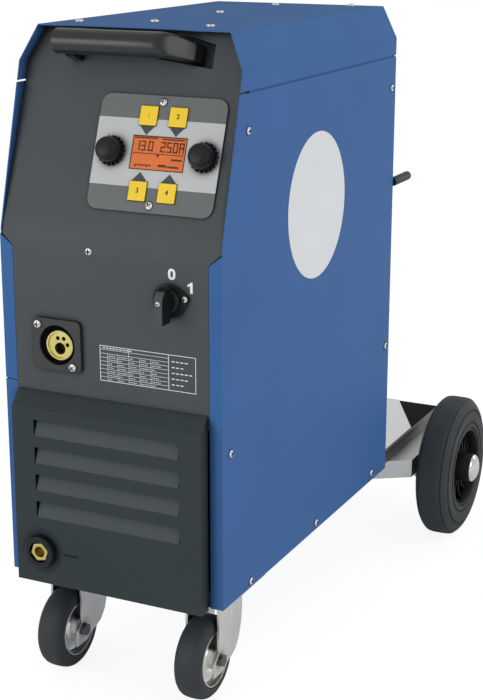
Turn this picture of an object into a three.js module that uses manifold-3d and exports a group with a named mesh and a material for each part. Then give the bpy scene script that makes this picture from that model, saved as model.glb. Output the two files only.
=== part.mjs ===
// MIG welding machine on a trolley: a sheet-metal cabinet on two swivel casters and
// two fixed rear wheels, with a bottle tray behind. Millimetres, +Z up, the front
// faces -Y, and the origin is on the floor under the middle of the machine.
// Cabinet pieces are written in the cabinet's own frame: y = 0 is the plane of the
// side panels' front flanges and z = 0 is the underside of the cabinet.
import * as THREE from 'three';
import { mergeVertices } from 'three/addons/utils/BufferGeometryUtils.js';
import Module from 'manifold-3d';

const wasm = await Module();
wasm.setup();

// ---- driving dimensions ------------------------------------------------------
const CLEARANCE = 0.3;              // between pieces that touch or run in each other
const SHEET = 1.5;                  // thickness of the cabinet's steel sheet

const CABINET_WIDTH = 280;
const CABINET_DEPTH = 511;
const CABINET_HEIGHT = 636;
const CABINET_LIFT = 135;           // floor to the underside of the cabinet
const BULGE_HEIGHT = 408;           // where the front starts to lean back
const EDGE_SETBACK = 62.6;          // lean of the side panels' front edge at the top
const FACE_SETBACK = 83.6;          // lean of the dark front face at the top
const COVER_SKIRT = 22;             // upright part of the top cover's sides
const CHAMFER_DROP = 39.7;
const CHAMFER_INSET = 19.6;
const SEAM = 2;                     // open seam between the top cover and the sides
const SIDE_FLANGE = 16;             // front and rear returns of the side panels
const FLANGE_SHOULDER = 12.4;       // height of the flanges' slanted upper ends
const DOOR_HEIGHT_FROM = 238.3;     // lower edge of the left door
const DOOR_SEAM = 1.4;

const FACE_THICKNESS = 3;           // moulded upper front panel
const FACE_ROUND = 110;             // radius of its bend at the bulge
const FACE_TAIL = 212;              // lower edge of the upper front panel
const HOOD_TOP = 229;
const HOOD_BOTTOM = 211;
const LOWER_WIDTH = 244;
const LOWER_PROUD = 18;
const LOWER_DROP = 3;
const LOWER_SHEET = 2;
const LOUVRE = { count: 4, left: -93, right: 95, top: 198.5, height: 19.5, pitch: 33.2, depth: 8 };

const CONTROL = { x: 44.5, width: 155, height: 129, corner: 12, thickness: 1.7, raise: 1 };
const DISPLAY = { x: 46.6, width: 66, height: 37, thickness: 1.8, raise: 1 };
const KEY = { size: 21.4, gap: 36.2, rows: 83, travel: 1, proud: 3.4, stem: 3 };
const KNOB = { spacing: 113.6, skirt: 16, skirtHeight: 5.5, barrel: 13.8, height: 20, shaft: 3 };
const BOARD = { back: 14.6, thickness: 1.6, margin: 8, encoder: 7, post: 3 };

const HANDLE = { left: -84, gripEnd: 48, right: 77, drop: 27.8, proud: 30, radius: 14, arm: 10,
  foot: 22, footHalf: 6 };
const POCKET = { left: -96, right: 95, drop: 6.8, height: 33, depth: 15, wall: 2 };
// The pocket narrows with the arm: its lower edge is level up to x = from and then falls, and
// its upper edge falls by lid from x = lidFrom.
const POCKET_EDGE = { rise: 5, from: 20, fall: 4, lid: 10, lidFrom: 55 };

const SWITCH = { x: 77, z: 354.4, dial: 21, proud: 27, knob: 15.5, barWidth: 11, barLength: 40, neck: 11 };
const SWITCH_BLOCK = { width: 32, height: 36, back: 42, bore: 20 };  // behind the panel
const EURO = { x: -66.5, rise: 50.8, width: 62, height: 60, recess: 23.5, plate: 3.7, corner: 7 };
const EURO_CORE = { shift: 3, radius: 17.5, lip: 15.2, lipDepth: 1.2, tail: 10, reach: 95, drop: 4, guide: 7,
  guideDepth: 14, wireBore: 2.2 };
// Pin sockets in the core's face: x and z from the core's middle.
const EURO_PINS = { radius: 2.3, depth: 9, places: [[-2.7, 8], [5.1, 8], [9.8, 1.3]] };
const GROUND = { x: -87, z: 38.5, ring: 19.2, body: 15, hex: 12, proud: 9, slot: 6.5 };

const CASTER = { x: 93, y: 77, radius: 50, width: 34, trail: 36, rim: 34, bolt: 5 };
const CASTER_PLATE = { width: 90, depth: 80, thickness: 3, race: 26, raceHeight: 5.5, pin: 6, pinHead: 10 };
const CASTER_RIM = { lip: 31, lipWidth: 1, dish: 28, root: 16, hub: 13, web: 6 };
const FORK = { thickness: 3, gap: 2.3, crown: 28, toe: 6, heel: 63, foot: 18 };
const FORK_KNEE = { reach: 16, rise: 9, behind: 8, calf: 30, slope: 44, bend: 53, back: 60 };
// Heights of the leg's rear outline from the axle, from the foot to the heel.
const FORK_REAR = { foot: -12, calf: -10, slope: -6, bend: 4, back: 22, heel: 40 };

const REAR = { behind: 140, radius: 101.6, width: 50, face: 216, rimRadius: 58, rimOpening: 54, rimStep: 2,
  hub: 20, hubProud: 9, web: 8, axle: 10 };
const HUB_CAP = { radius: 20, height: 8, flange: 1.5, seat: 3.5 };
const CARRIER = { sheet: 2.5, depth: 26, lugInner: 142, lugWidth: 6, lugHalf: 20 };
// Half widths of the carrier, and how far behind the cabinet's back each is reached.
const CARRIER_FLARE = { nose: 60, under: 21, widest: 163, from: 47, to: 85, waist: 148, waistFrom: 127,
  rear: 189 };
const TRAY = { width: 268, length: 245, height: 20, wall: 2 };
const FLOOR_PLATE = { thickness: 1.5, cutWidth: 62, cutLength: 116 };  // its rear corners are cut off
const BRACKET = { x: 138, z: 406, rod: 6, reach: 66, standoff: 10, plateWidth: 120, plateHeight: 50 };

const SHELF_DROP = 2.6;             // from the door's lower edge down to the shelf
const PARTITION_X = -12;
const PARTITION_SETBACK = 45;
const SPOOL = { x: -70, behind: 31, above: 16, radius: 150, width: 100, bore: 25.6, hub: 32, flange: 4,
  web: 6 };
const WIRE = { inner: 98, outer: 132 };  // radii of the wound wire on the spool
const FEED = { y: 120, roller: 18.5, idler: 16, width: 12, shaft: 6, pinch: 1, pivot: 35, arm: 6,
  armReach: 42, armHalf: 7, eye: 9 };
const FEED_PLATE = { thickness: 8, width: 96, rise: 7.3, height: 92 };
const FEED_MOTOR = { radius: 30, neck: 20, length: 95 };
const FAN = { x: 64, z: 330, motor: 28, motorLength: 40, blade: 58, hub: 14, blades: 5, post: 4, spread: 66,
  strap: 45.7, behind: 7.7, depth: 22 };
const TRANSFORMER = { x: 66, y: 315, width: 118, depth: 150, height: 140, coil: 26 };
const RECTIFIER = { x: -74, y: 240, width: 96, depth: 170, height: 110, fins: 7 };
const LATCH = { front: 120, rear: 111, drop: 12.3, knob: 11, knobHeight: 6, shaft: 4, cam: 28,
  camWidth: 10, camOffset: 2.5 };
const HINGE = { radius: 3, pin: 1.4, length: 30, front: 60, rear: 91, out: 0.8 };
const GLAND = { x: 90, z: 60, body: 12, flange: 16, reach: 20, bore: 6 };
const GAS = { x: -90, z: 60, body: 5, flange: 9, reach: 24, bore: 2.5 };
const ROUND = 32;                   // facets round a large circle
const SMALL_ROUND = 12;             // facets round a small one

// ---- sizes that follow from them ---------------------------------------------
const HALF = CABINET_WIDTH / 2;
const INNER = HALF - SHEET;
const COVER_SHOULDER = CABINET_HEIGHT - CHAMFER_DROP;
const COVER_BOTTOM = COVER_SHOULDER - COVER_SKIRT;
const SIDE_TOP = COVER_BOTTOM - SEAM;
const LEAN_HEIGHT = CABINET_HEIGHT - BULGE_HEIGHT;
const EDGE_SLOPE = EDGE_SETBACK / LEAN_HEIGHT;
const FACE_SLOPE = FACE_SETBACK / LEAN_HEIGHT;
const FACE_TILT = Math.atan(FACE_SLOPE);
const FLANGE_INNER = HALF - SIDE_FLANGE;
const REAR_SHEET = CABINET_DEPTH - SHEET - CLEARANCE;     // rear panel's outer face
const REAR_INNER = REAR_SHEET - SHEET;
const REAR_AXLE_Y = CABINET_DEPTH + REAR.behind;
const REAR_AXLE_Z = REAR.radius - CABINET_LIFT;
const CASTER_AXLE_Z = CASTER.radius - CABINET_LIFT;
const FRONT_MOST = -Math.max(SWITCH.proud, LOWER_PROUD + CLEARANCE + GROUND.proud);
const TRAY_REAR = CABINET_DEPTH + TRAY.length;
const Y_MIDDLE = (FRONT_MOST + TRAY_REAR) / 2;
const SHELF_HEIGHT = DOOR_HEIGHT_FROM - SHELF_DROP;
const EURO_Z = SHELF_HEIGHT + EURO.rise;
const FACE_LENGTH = Math.hypot(LEAN_HEIGHT, FACE_SETBACK);
const POCKET_TO = FACE_LENGTH - POCKET.drop;
const POCKET_FROM = POCKET_TO - POCKET.height;
const HANDLE_S = FACE_LENGTH - HANDLE.drop;
const CONTROL_S = POCKET_FROM / 2 + CONTROL.raise;
const DISPLAY_S = CONTROL_S + DISPLAY.raise;
const LATCH_Z = SIDE_TOP - LATCH.drop;
const LATCH_YS = [LATCH.front, CABINET_DEPTH - LATCH.rear];
const HINGE_YS = [HINGE.front, CABINET_DEPTH - HINGE.rear];
const SPOOL_Y = CABINET_DEPTH - SPOOL.behind - SPOOL.radius;
const SPOOL_Z = CABINET_HEIGHT - SPOOL.above - SPOOL.radius;

const faceY = (z) => Math.max(0, z - BULGE_HEIGHT) * FACE_SLOPE;

// ---- materials ---------------------------------------------------------------
const finish = (color, roughness, metalness) => new THREE.MeshStandardMaterial({ color, roughness, metalness });
const bluePaint = finish(0x4a6b9a, 0.45, 0.1);
const darkPaint = finish(0x45494c, 0.55, 0.1);
const darkPlastic = finish(0x3c4042, 0.6, 0);
const blackPlastic = finish(0x222527, 0.5, 0);
const greyPlastic = finish(0x696c6c, 0.55, 0);
const yellowPlastic = finish(0xf2c83c, 0.45, 0);
const orangeGlass = finish(0xe17832, 0.3, 0);
const circuitBoard = finish(0x2f5a3c, 0.6, 0);
const brass = finish(0xc8b464, 0.3, 0.9);
const zinc = finish(0xbebeb9, 0.35, 0.8);
const galvanised = finish(0x8c8e8c, 0.45, 0.7);
const steel = finish(0x9a9c9e, 0.4, 0.8);
const tyreRubber = finish(0x34383a, 0.85, 0);
const copper = finish(0xb06a3c, 0.4, 0.7);

// ---- making and joining solids -------------------------------------------------
function solidOf(geometry) {
  const bare = geometry.index ? geometry.toNonIndexed() : geometry.clone();
  bare.deleteAttribute('normal');
  bare.deleteAttribute('uv');
  const merged = mergeVertices(bare, 1e-4);
  const corners = [];
  const index = merged.index.array;
  for (let i = 0; i < index.length; i += 3) {
    const [a, b, c] = [index[i], index[i + 1], index[i + 2]];
    if (a !== b && b !== c && c !== a) corners.push(a, b, c);
  }
  const build = (triVerts) => new wasm.Manifold(new wasm.Mesh({
    numProp: 3,
    vertProperties: new Float32Array(merged.attributes.position.array),
    triVerts: new Uint32Array(triVerts),
  }));
  const made = build(corners);
  return made.volume() < 0 ? build(corners.reverse()) : made;
}

function join(...solids) {
  return solids.reduce((all, next) => all.add(next));
}

function cut(solid, ...tools) {
  return tools.reduce((left, tool) => left.subtract(tool), solid);
}

function geometryOf(solid) {
  const { vertProperties, triVerts } = solid.getMesh();
  return new THREE.BufferGeometry()
    .setAttribute('position', new THREE.BufferAttribute(vertProperties, 3))
    .setIndex(new THREE.BufferAttribute(triVerts, 1));
}

function moved(geometry, matrix) {
  return solidOf(geometry.clone().applyMatrix4(matrix));
}

function box([x0, x1], [y0, y1], [z0, z1]) {
  const geometry = new THREE.BoxGeometry(x1 - x0, y1 - y0, z1 - z0);
  return solidOf(geometry.translate((x0 + x1) / 2, (y0 + y1) / 2, (z0 + z1) / 2));
}

// Prisms along each axis. The outline of prismX is in (y, z), of prismY in (x, z)
// and of prismZ in (x, y).
function extruded(points, from, to) {
  const shape = new THREE.Shape(points.map(([u, v]) => new THREE.Vector2(u, v)));
  return new THREE.ExtrudeGeometry(shape, { depth: to - from, bevelEnabled: false }).translate(0, 0, from);
}
const AXES_X = new THREE.Matrix4().set(0, 0, 1, 0, 1, 0, 0, 0, 0, 1, 0, 0, 0, 0, 0, 1);
const AXES_Y = new THREE.Matrix4().set(0, 1, 0, 0, 0, 0, 1, 0, 1, 0, 0, 0, 0, 0, 0, 1);
const AXES_Z = new THREE.Matrix4();
const prismX = (points, from, to) => moved(extruded(points, from, to), AXES_X);
const prismY = (points, from, to) => moved(extruded(points.map(([x, z]) => [z, x]), from, to), AXES_Y);
const prismZ = (points, from, to) => moved(extruded(points, from, to), AXES_Z);

// Turned pieces: the profile is a list of [distance along the axis, radius], in
// order, and is closed on the axis. It starts at centre.
const AXIS_TURN = {
  x: new THREE.Matrix4().makeRotationZ(-Math.PI / 2),
  y: new THREE.Matrix4(),
  z: new THREE.Matrix4().makeRotationX(Math.PI / 2),
};
function turned(axis, profile, [x, y, z], facets = ROUND) {
  const points = profile.map(([along, radius]) => new THREE.Vector2(radius, along));
  const first = profile[0][0];
  const last = profile[profile.length - 1][0];
  const closed = [new THREE.Vector2(0, first), ...points, new THREE.Vector2(0, last)];
  return latheOf(axis, closed, [x, y, z], facets);
}
// A ring keeps its bore: the profile closes on itself and never meets the axis.
function ring(axis, profile, centre, facets = ROUND) {
  const points = profile.map(([along, radius]) => new THREE.Vector2(radius, along));
  return latheOf(axis, [...points, points[0].clone()], centre, facets);
}
function latheOf(axis, points, [x, y, z], facets) {
  const geometry = new THREE.LatheGeometry(points, facets);
  return moved(geometry.applyMatrix4(AXIS_TURN[axis]), new THREE.Matrix4().makeTranslation(x, y, z));
}
const rod = (axis, radius, from, to, centre, facets = SMALL_ROUND) =>
  turned(axis, [[from, radius], [to, radius]], centre, facets);

// A tool for a round hole: its flats, not its corners, lie on the radius.
const hole = (axis, radius, from, to, centre, facets = SMALL_ROUND) =>
  rod(axis, radius / Math.cos(Math.PI / facets), from, to, centre, facets);

function roundedRect(cx, cy, width, height, corner, steps = 4) {
  const points = [];
  const centres = [[1, 1, 0], [-1, 1, 1], [-1, -1, 2], [1, -1, 3]];
  for (const [sx, sy, quarter] of centres) {
    for (let i = 0; i <= steps; i++) {
      const angle = (quarter + i / steps) * Math.PI / 2;
      points.push([
        cx + sx * (width / 2 - corner) + corner * Math.cos(angle),
        cy + sy * (height / 2 - corner) + corner * Math.sin(angle),
      ]);
    }
  }
  return points;
}

// The outline moved inwards by distance, for walls of even thickness. Points run
// anticlockwise.
function inset(points, distance) {
  const lines = points.map(([x, y], i) => {
    const [nx, ny] = points[(i + 1) % points.length];
    const length = Math.hypot(nx - x, ny - y);
    const normal = [-(ny - y) / length, (nx - x) / length];
    return { normal, offset: normal[0] * x + normal[1] * y + distance };
  });
  return lines.map((line, i) => {
    const before = lines[(i + lines.length - 1) % lines.length];
    const [a, b] = before.normal;
    const [c, d] = line.normal;
    const det = a * d - b * c;
    return [(before.offset * d - line.offset * b) / det, (a * line.offset - c * before.offset) / det];
  });
}

const mirrored = (points) => [...points, ...points.map(([x, y]) => [-x, y]).reverse()];

// The leaning face has its own frame: x, s up along the face from the bulge, and w
// out of it. onFace takes a solid drawn in (x, w, s) to the cabinet's frame.
const faceMatrix = new THREE.Matrix4().makeBasis(
  new THREE.Vector3(1, 0, 0),
  new THREE.Vector3(0, -Math.cos(FACE_TILT), Math.sin(FACE_TILT)),
  new THREE.Vector3(0, Math.sin(FACE_TILT), Math.cos(FACE_TILT)),
).setPosition(0, 0, BULGE_HEIGHT);
const onFace = (solid) => moved(geometryOf(solid), faceMatrix);

// ---- the scene -----------------------------------------------------------------
const machine = new THREE.Group();
machine.position.set(0, -Y_MIDDLE, CABINET_LIFT);

function piece(name, solid, material) {
  const mesh = new THREE.Mesh(geometryOf(solid), material);
  mesh.name = name;
  machine.add(mesh);
}

// ---- cabinet -------------------------------------------------------------------
// Outline of the chamfered top, seen from the front, moved inwards by distance.
function coverOutline(distance, bottom) {
  const length = Math.hypot(CHAMFER_DROP, CHAMFER_INSET);
  const nx = CHAMFER_DROP / length;
  const nz = CHAMFER_INSET / length;
  const line = nx * HALF + nz * COVER_SHOULDER - distance;
  const x = HALF - distance;
  const top = CABINET_HEIGHT - distance;
  const right = [[x, bottom], [x, (line - nx * x) / nz], [(line - nz * top) / nx, top]];
  return mirrored(right);
}

// Everything in front of a plane that leans back with this slope from the bulge.
function inFrontOf(slope) {
  const below = 60;
  const far = 2 * CABINET_HEIGHT;
  return prismX([
    [-slope * below, BULGE_HEIGHT - below], [slope * far, BULGE_HEIGHT + far],
    [-far, BULGE_HEIGHT + far], [-far, BULGE_HEIGHT - below],
  ], -CABINET_WIDTH, CABINET_WIDTH);
}

// The front face from the side, upright and then leaning back, with a round bend
// between the two. It lies this far behind the outer surface.
function faceProfile(depth) {
  const radius = FACE_ROUND - depth;
  const start = BULGE_HEIGHT - FACE_ROUND * Math.tan(FACE_TILT / 2);
  const steps = 5;
  const bend = [];
  for (let i = 0; i <= steps; i++) {
    const angle = FACE_TILT * i / steps;
    bend.push([FACE_ROUND - radius * Math.cos(angle), start + radius * Math.sin(angle)]);
  }
  const far = 2 * CABINET_HEIGHT;
  const [y, z] = bend[steps];
  return [...bend, [y + far * FACE_SLOPE, z + far]];
}

function chassisBase() {
  const wall = HALF - SHEET - CLEARANCE;
  const front = SHEET + CLEARANCE;
  const rear = REAR_INNER - CLEARANCE;
  const rim = 20;
  const pan = box([-wall, wall], [front, rear], [0, rim]);
  const inside = box([-wall + SHEET, wall - SHEET], [front + SHEET, rear - SHEET], [SHEET, rim + SHEET]);
  return cut(pan, inside);
}
piece('chassis_base', chassisBase(), galvanised);

// A side sheet with its front and rear returns. The front return ends in a slant
// below the bulge, and above it the sheet's front edge leans back.
function foldedSide(side, bottom, top) {
  const rear = CABINET_DEPTH;
  const plan = [
    [FLANGE_INNER, 0], [HALF, 0], [HALF, rear], [FLANGE_INNER, rear],
    [FLANGE_INNER, rear - SHEET], [INNER, rear - SHEET], [INNER, SHEET], [FLANGE_INNER, SHEET],
  ];
  const folded = prismZ(plan.map(([x, y]) => [side * x, y]), bottom, top);
  const slant = (x) => BULGE_HEIGHT + (x - HALF) * FLANGE_SHOULDER / SIDE_FLANGE;
  const from = FLANGE_INNER - 5;
  const to = HALF + 5;
  const above = prismY([
    [side * from, slant(from)], [side * to, slant(to)],
    [side * to, CABINET_HEIGHT], [side * from, CABINET_HEIGHT],
  ], -1, SHEET + CLEARANCE);
  return cut(folded, above, inFrontOf(EDGE_SLOPE));
}

// Hinge knuckles lie along the seam between the door and the fixed panel below it.
const HINGE_X = -HALF - HINGE.out;
const HINGE_Z = DOOR_HEIGHT_FROM - DOOR_SEAM / 2;
const knuckle = (y, radius) => rod('y', radius, y, y + HINGE.length, [HINGE_X, 0, HINGE_Z], 16);
const doorKnuckles = (radius) => HINGE_YS.map((y) => knuckle(y, radius));
const panelKnuckles = (radius) => HINGE_YS.map((y) => knuckle(y + HINGE.length + CLEARANCE, radius));
const knuckleSpace = HINGE.radius + 2 * CLEARANCE;

piece('side_panel_right', foldedSide(1, 0, SIDE_TOP), bluePaint);

function sidePanelLeft() {
  const plain = foldedSide(-1, 0, DOOR_HEIGHT_FROM - DOOR_SEAM);
  const hinged = join(cut(plain, ...doorKnuckles(knuckleSpace)), ...panelKnuckles(HINGE.radius));
  const bores = HINGE_YS.map((y) => hole('y', HINGE.pin + CLEARANCE,
    y + HINGE.length, y + 2 * HINGE.length, [HINGE_X, 0, HINGE_Z], 12));
  return cut(hinged, ...bores);
}
piece('side_panel_left', sidePanelLeft(), bluePaint);

function sideDoor() {
  const plain = foldedSide(-1, DOOR_HEIGHT_FROM, SIDE_TOP);
  const pins = HINGE_YS.map((y) => rod('y', HINGE.pin,
    y + HINGE.length / 2, y + 2 * HINGE.length - CLEARANCE, [HINGE_X, 0, HINGE_Z], 12));
  const latchHoles = LATCH_YS.map((y) => hole('x', LATCH.shaft + CLEARANCE,
    -HALF - 1, -INNER + 1, [0, y, LATCH_Z]));
  const hinged = join(cut(plain, ...panelKnuckles(knuckleSpace)), ...doorKnuckles(HINGE.radius), ...pins);
  return cut(hinged, ...latchHoles);
}
piece('side_door', sideDoor(), bluePaint);

// The cams lie level when released and stand up behind the cover's skirt when turned.
function doorLatch(y) {
  const out = -HALF - CLEARANCE;
  const camFrom = -INNER + LATCH.camOffset;
  const camTo = camFrom + 3;
  const knob = rod('x', LATCH.knob, out - LATCH.knobHeight, out, [0, y, LATCH_Z]);
  const wing = box([out - 2 * LATCH.knobHeight, out - LATCH.knobHeight + 1],
    [y - LATCH.knob, y + LATCH.knob], [LATCH_Z - 3, LATCH_Z + 3]);
  const shaft = rod('x', LATCH.shaft, out - 1, camTo, [0, y, LATCH_Z]);
  const cam = box([camFrom, camTo], [y - LATCH.camWidth / 2, y + LATCH.cam],
    [LATCH_Z - LATCH.camWidth / 2, LATCH_Z + LATCH.camWidth / 2]);
  return join(knob, wing, shaft, cam);
}
piece('door_latch_front', doorLatch(LATCH_YS[0]), blackPlastic);
piece('door_latch_rear', doorLatch(LATCH_YS[1]), blackPlastic);

function topCover() {
  const outer = prismY(coverOutline(0, COVER_BOTTOM), 0, CABINET_DEPTH);
  const inner = prismY(coverOutline(SHEET, 0), -1, CABINET_DEPTH + 1);
  return cut(outer, inner, inFrontOf(EDGE_SLOPE));
}
piece('top_cover', topCover(), bluePaint);

function rearPanel() {
  const blank = prismY(coverOutline(SHEET + CLEARANCE, SHEET + 2 * CLEARANCE), REAR_INNER, REAR_SHEET);
  const vents = [];
  const pitch = 16;
  for (let row = -3; row <= 3; row++) {
    const half = Math.sqrt(FAN.blade ** 2 - (row * pitch) ** 2);
    const z = FAN.z + row * pitch;
    vents.push(box([FAN.x - half, FAN.x + half], [REAR_INNER - 1, REAR_SHEET + 1], [z - 3.5, z + 3.5]));
  }
  const holes = [GLAND, GAS].map(({ x, z, body }) => hole('y', body + CLEARANCE,
    REAR_INNER - 1, REAR_SHEET + 1, [x, 0, z]));
  return cut(blank, ...vents, ...holes);
}
piece('rear_panel', rearPanel(), bluePaint);

// The welding wire runs straight back from the torch socket's guide bore.
const euroCoreX = EURO.x + EURO_CORE.shift;
const wireZ = EURO_Z - EURO_CORE.drop;
const rollerZ = wireZ - FEED.pinch / 2 - FEED.roller;

// Shelf under the wire compartment and the upright partition beside it, one welding.
function innerFrame() {
  const right = PARTITION_X + SHEET;
  const rear = REAR_INNER - SHEET - 2 * CLEARANCE;
  const top = CABINET_HEIGHT - SHEET - CLEARANCE;
  const upright = prismX([
    [PARTITION_SETBACK, SHEET + CLEARANCE], [rear, SHEET + CLEARANCE], [rear, top],
    [faceY(top) + PARTITION_SETBACK, top], [PARTITION_SETBACK, BULGE_HEIGHT],
  ], PARTITION_X, right);
  const shelf = box([-INNER + 2, right - SHEET / 2], [FACE_THICKNESS + CLEARANCE, rear - 1],
    [SHELF_HEIGHT, SHELF_HEIGHT + SHEET]);
  const neckHole = hole('x', FEED_MOTOR.neck + CLEARANCE, PARTITION_X - 1, right + 1,
    [0, FEED.y, rollerZ], ROUND);
  return cut(join(upright, shelf), neckHole);
}
piece('inner_frame', innerFrame(), galvanised);

// ---- front panels --------------------------------------------------------------
const controlItems = {
  knobs: [-1, 1].map((side) => [DISPLAY.x + side * KNOB.spacing / 2, CONTROL_S]),
  keys: [[-1, 1], [1, 1], [-1, -1], [1, -1]]
    .map(([side, row]) => [DISPLAY.x + side * KEY.gap / 2, CONTROL_S + row * KEY.rows / 2]),
};
const keyHole = KEY.size + 2 * CLEARANCE;
const squareOnFace = ([x, s], size, from, to) =>
  box([x - size / 2, x + size / 2], [from, to], [s - size / 2, s + size / 2]);

function frontPanelUpper() {
  const narrow = FLANGE_INNER - CLEARANCE;
  const wide = INNER - CLEARANCE;
  const shoulder = 0.5;
  const top = coverOutline(SHEET + CLEARANCE, BULGE_HEIGHT + shoulder);
  const half = top.slice(0, 3);
  const outline = mirrored([
    [narrow, FACE_TAIL], [narrow, BULGE_HEIGHT - FLANGE_SHOULDER + shoulder], [wide, BULGE_HEIGHT + shoulder],
    half[1], half[2],
  ]);
  const outerLine = faceProfile(0);
  const innerLine = faceProfile(FACE_THICKNESS).reverse();
  const skin = prismX([[0, 0], ...outerLine, ...innerLine, [FACE_THICKNESS, 0]], -HALF, HALF);
  const sheet = skin.intersect(prismY(outline, -1, CABINET_DEPTH));
  const pocketShape = (margin, from, to) => prismY([
    [POCKET.left - margin, POCKET_FROM + POCKET_EDGE.rise - margin],
    [POCKET_EDGE.from, POCKET_FROM + POCKET_EDGE.rise - margin],
    [POCKET.right + margin, POCKET_FROM - POCKET_EDGE.fall - margin],
    [POCKET.right + margin, POCKET_TO - POCKET_EDGE.lid + margin],
    [POCKET_EDGE.lidFrom, POCKET_TO + margin], [POCKET.left - margin, POCKET_TO + margin],
  ], from, to);
  const pocketOuter = pocketShape(POCKET.wall, -POCKET.depth - POCKET.wall, -1);
  const pocketInner = pocketShape(0, -POCKET.depth, 10);
  const windows = [
    box([DISPLAY.x - DISPLAY.width / 2 + 1, DISPLAY.x + DISPLAY.width / 2 - 1], [-10, 10],
      [DISPLAY_S - DISPLAY.height / 2 + 1, DISPLAY_S + DISPLAY.height / 2 - 1]),
    ...controlItems.keys.map((at) => squareOnFace(at, keyHole, -10, 10)),
    ...controlItems.knobs.map(([x, s]) => hole('y', KNOB.shaft + 1, -10, 10, [x, 0, s])),
  ];
  const round = [
    hole('y', SWITCH.neck + CLEARANCE, -1, FACE_THICKNESS + 1, [SWITCH.x, 0, SWITCH.z]),
    hole('y', EURO_CORE.radius + CLEARANCE, -1, FACE_THICKNESS + 1, [euroCoreX, 0, EURO_Z], ROUND),
  ];
  const shell = join(sheet, onFace(pocketOuter));
  return cut(shell, onFace(pocketInner), ...windows.map(onFace), ...round);
}
piece('front_panel_upper', frontPanelUpper(), darkPlastic);

// Hooded lower panel: each louvre's flap hangs on its lower edge and leans inwards.
function frontPanelLower() {
  const half = LOWER_WIDTH / 2;
  const back = -CLEARANCE;
  const face = -LOWER_PROUD;
  const outline = [[back, -LOWER_DROP], [back, HOOD_TOP], [face, HOOD_BOTTOM], [face, -LOWER_DROP]];
  const inner = [
    [back + 1, -LOWER_DROP + LOWER_SHEET], [back + 1, HOOD_TOP - LOWER_SHEET],
    [back, HOOD_TOP - LOWER_SHEET - 0.5],
    [face + LOWER_SHEET, HOOD_BOTTOM - LOWER_SHEET / 2], [face + LOWER_SHEET, -LOWER_DROP + LOWER_SHEET],
  ];
  const shell = cut(prismX(outline, -half, half), prismX(inner, -half + LOWER_SHEET, half - LOWER_SHEET));
  const slots = [];
  const flaps = [];
  for (let i = 0; i < LOUVRE.count; i++) {
    const top = LOUVRE.top - i * LOUVRE.pitch;
    const bottom = top - LOUVRE.height;
    slots.push(box([LOUVRE.left, LOUVRE.right], [face - 1, face + LOWER_SHEET + 1], [bottom, top]));
    flaps.push(prismX([
      [face, bottom - 1], [face + LOWER_SHEET, bottom - 1], [face + LOWER_SHEET, bottom],
      [face + LOUVRE.depth, top - 1], [face + LOUVRE.depth - 1.5, top], [face, bottom + 1],
    ], LOUVRE.left + 1, LOUVRE.right - 1));
  }
  const socket = hole('y', GROUND.body + CLEARANCE, face - 1, face + LOWER_SHEET + 1, [GROUND.x, 0, GROUND.z]);
  return cut(join(cut(shell, ...slots), ...flaps), socket);
}
piece('front_panel_lower', frontPanelLower(), darkPaint);

// ---- controls on the leaning face ------------------------------------------------
const PLATE_BACK = CLEARANCE;
const PLATE_FRONT = PLATE_BACK + CONTROL.thickness;

function controlPlate() {
  const outline = roundedRect(CONTROL.x, CONTROL_S, CONTROL.width, CONTROL.height, CONTROL.corner);
  const holes = [
    box([DISPLAY.x - DISPLAY.width / 2 - CLEARANCE, DISPLAY.x + DISPLAY.width / 2 + CLEARANCE], [-1, 10],
      [DISPLAY_S - DISPLAY.height / 2 - CLEARANCE, DISPLAY_S + DISPLAY.height / 2 + CLEARANCE]),
    ...controlItems.keys.map((at) => squareOnFace(at, keyHole, -1, 10)),
    ...controlItems.knobs.map(([x, s]) => hole('y', KNOB.shaft + CLEARANCE, -1, 10, [x, 0, s])),
  ];
  return onFace(cut(prismY(outline, PLATE_BACK, PLATE_FRONT), ...holes));
}
piece('control_plate', controlPlate(), greyPlastic);

piece('display_window', onFace(box(
  [DISPLAY.x - DISPLAY.width / 2, DISPLAY.x + DISPLAY.width / 2],
  [PLATE_BACK + CLEARANCE, PLATE_BACK + CLEARANCE + DISPLAY.thickness],
  [DISPLAY_S - DISPLAY.height / 2, DISPLAY_S + DISPLAY.height / 2])), orangeGlass);

function key([x, s]) {
  const cap = squareOnFace([x, s], KEY.size, -FACE_THICKNESS, KEY.proud);
  const stem = rod('y', KEY.stem, boardFront + keySwitch + KEY.travel + CLEARANCE, -1, [x, 0, s], 12);
  return onFace(join(cap, stem));
}
const boardFront = -BOARD.back + BOARD.thickness;
const keySwitch = 3;
['upper_left', 'upper_right', 'lower_left', 'lower_right'].forEach((place, i) => {
  piece(`key_${place}`, key(controlItems.keys[i]), yellowPlastic);
});

function encoderKnob([x, s]) {
  const base = PLATE_FRONT + CLEARANCE;
  const profile = [
    [boardFront + CLEARANCE, KNOB.shaft], [base, KNOB.shaft], [base, KNOB.skirt],
    [base + KNOB.skirtHeight, KNOB.skirt - 1], [base + KNOB.skirtHeight, KNOB.barrel],
    [base + KNOB.height - 5, KNOB.barrel - 0.6], [base + KNOB.height - 1.6, KNOB.barrel - 3],
    [base + KNOB.height, KNOB.barrel / 2],
  ];
  return onFace(turned('y', profile, [x, 0, s], 24));
}
piece('encoder_knob_left', encoderKnob(controlItems.knobs[0]), blackPlastic);
piece('encoder_knob_right', encoderKnob(controlItems.knobs[1]), blackPlastic);

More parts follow.
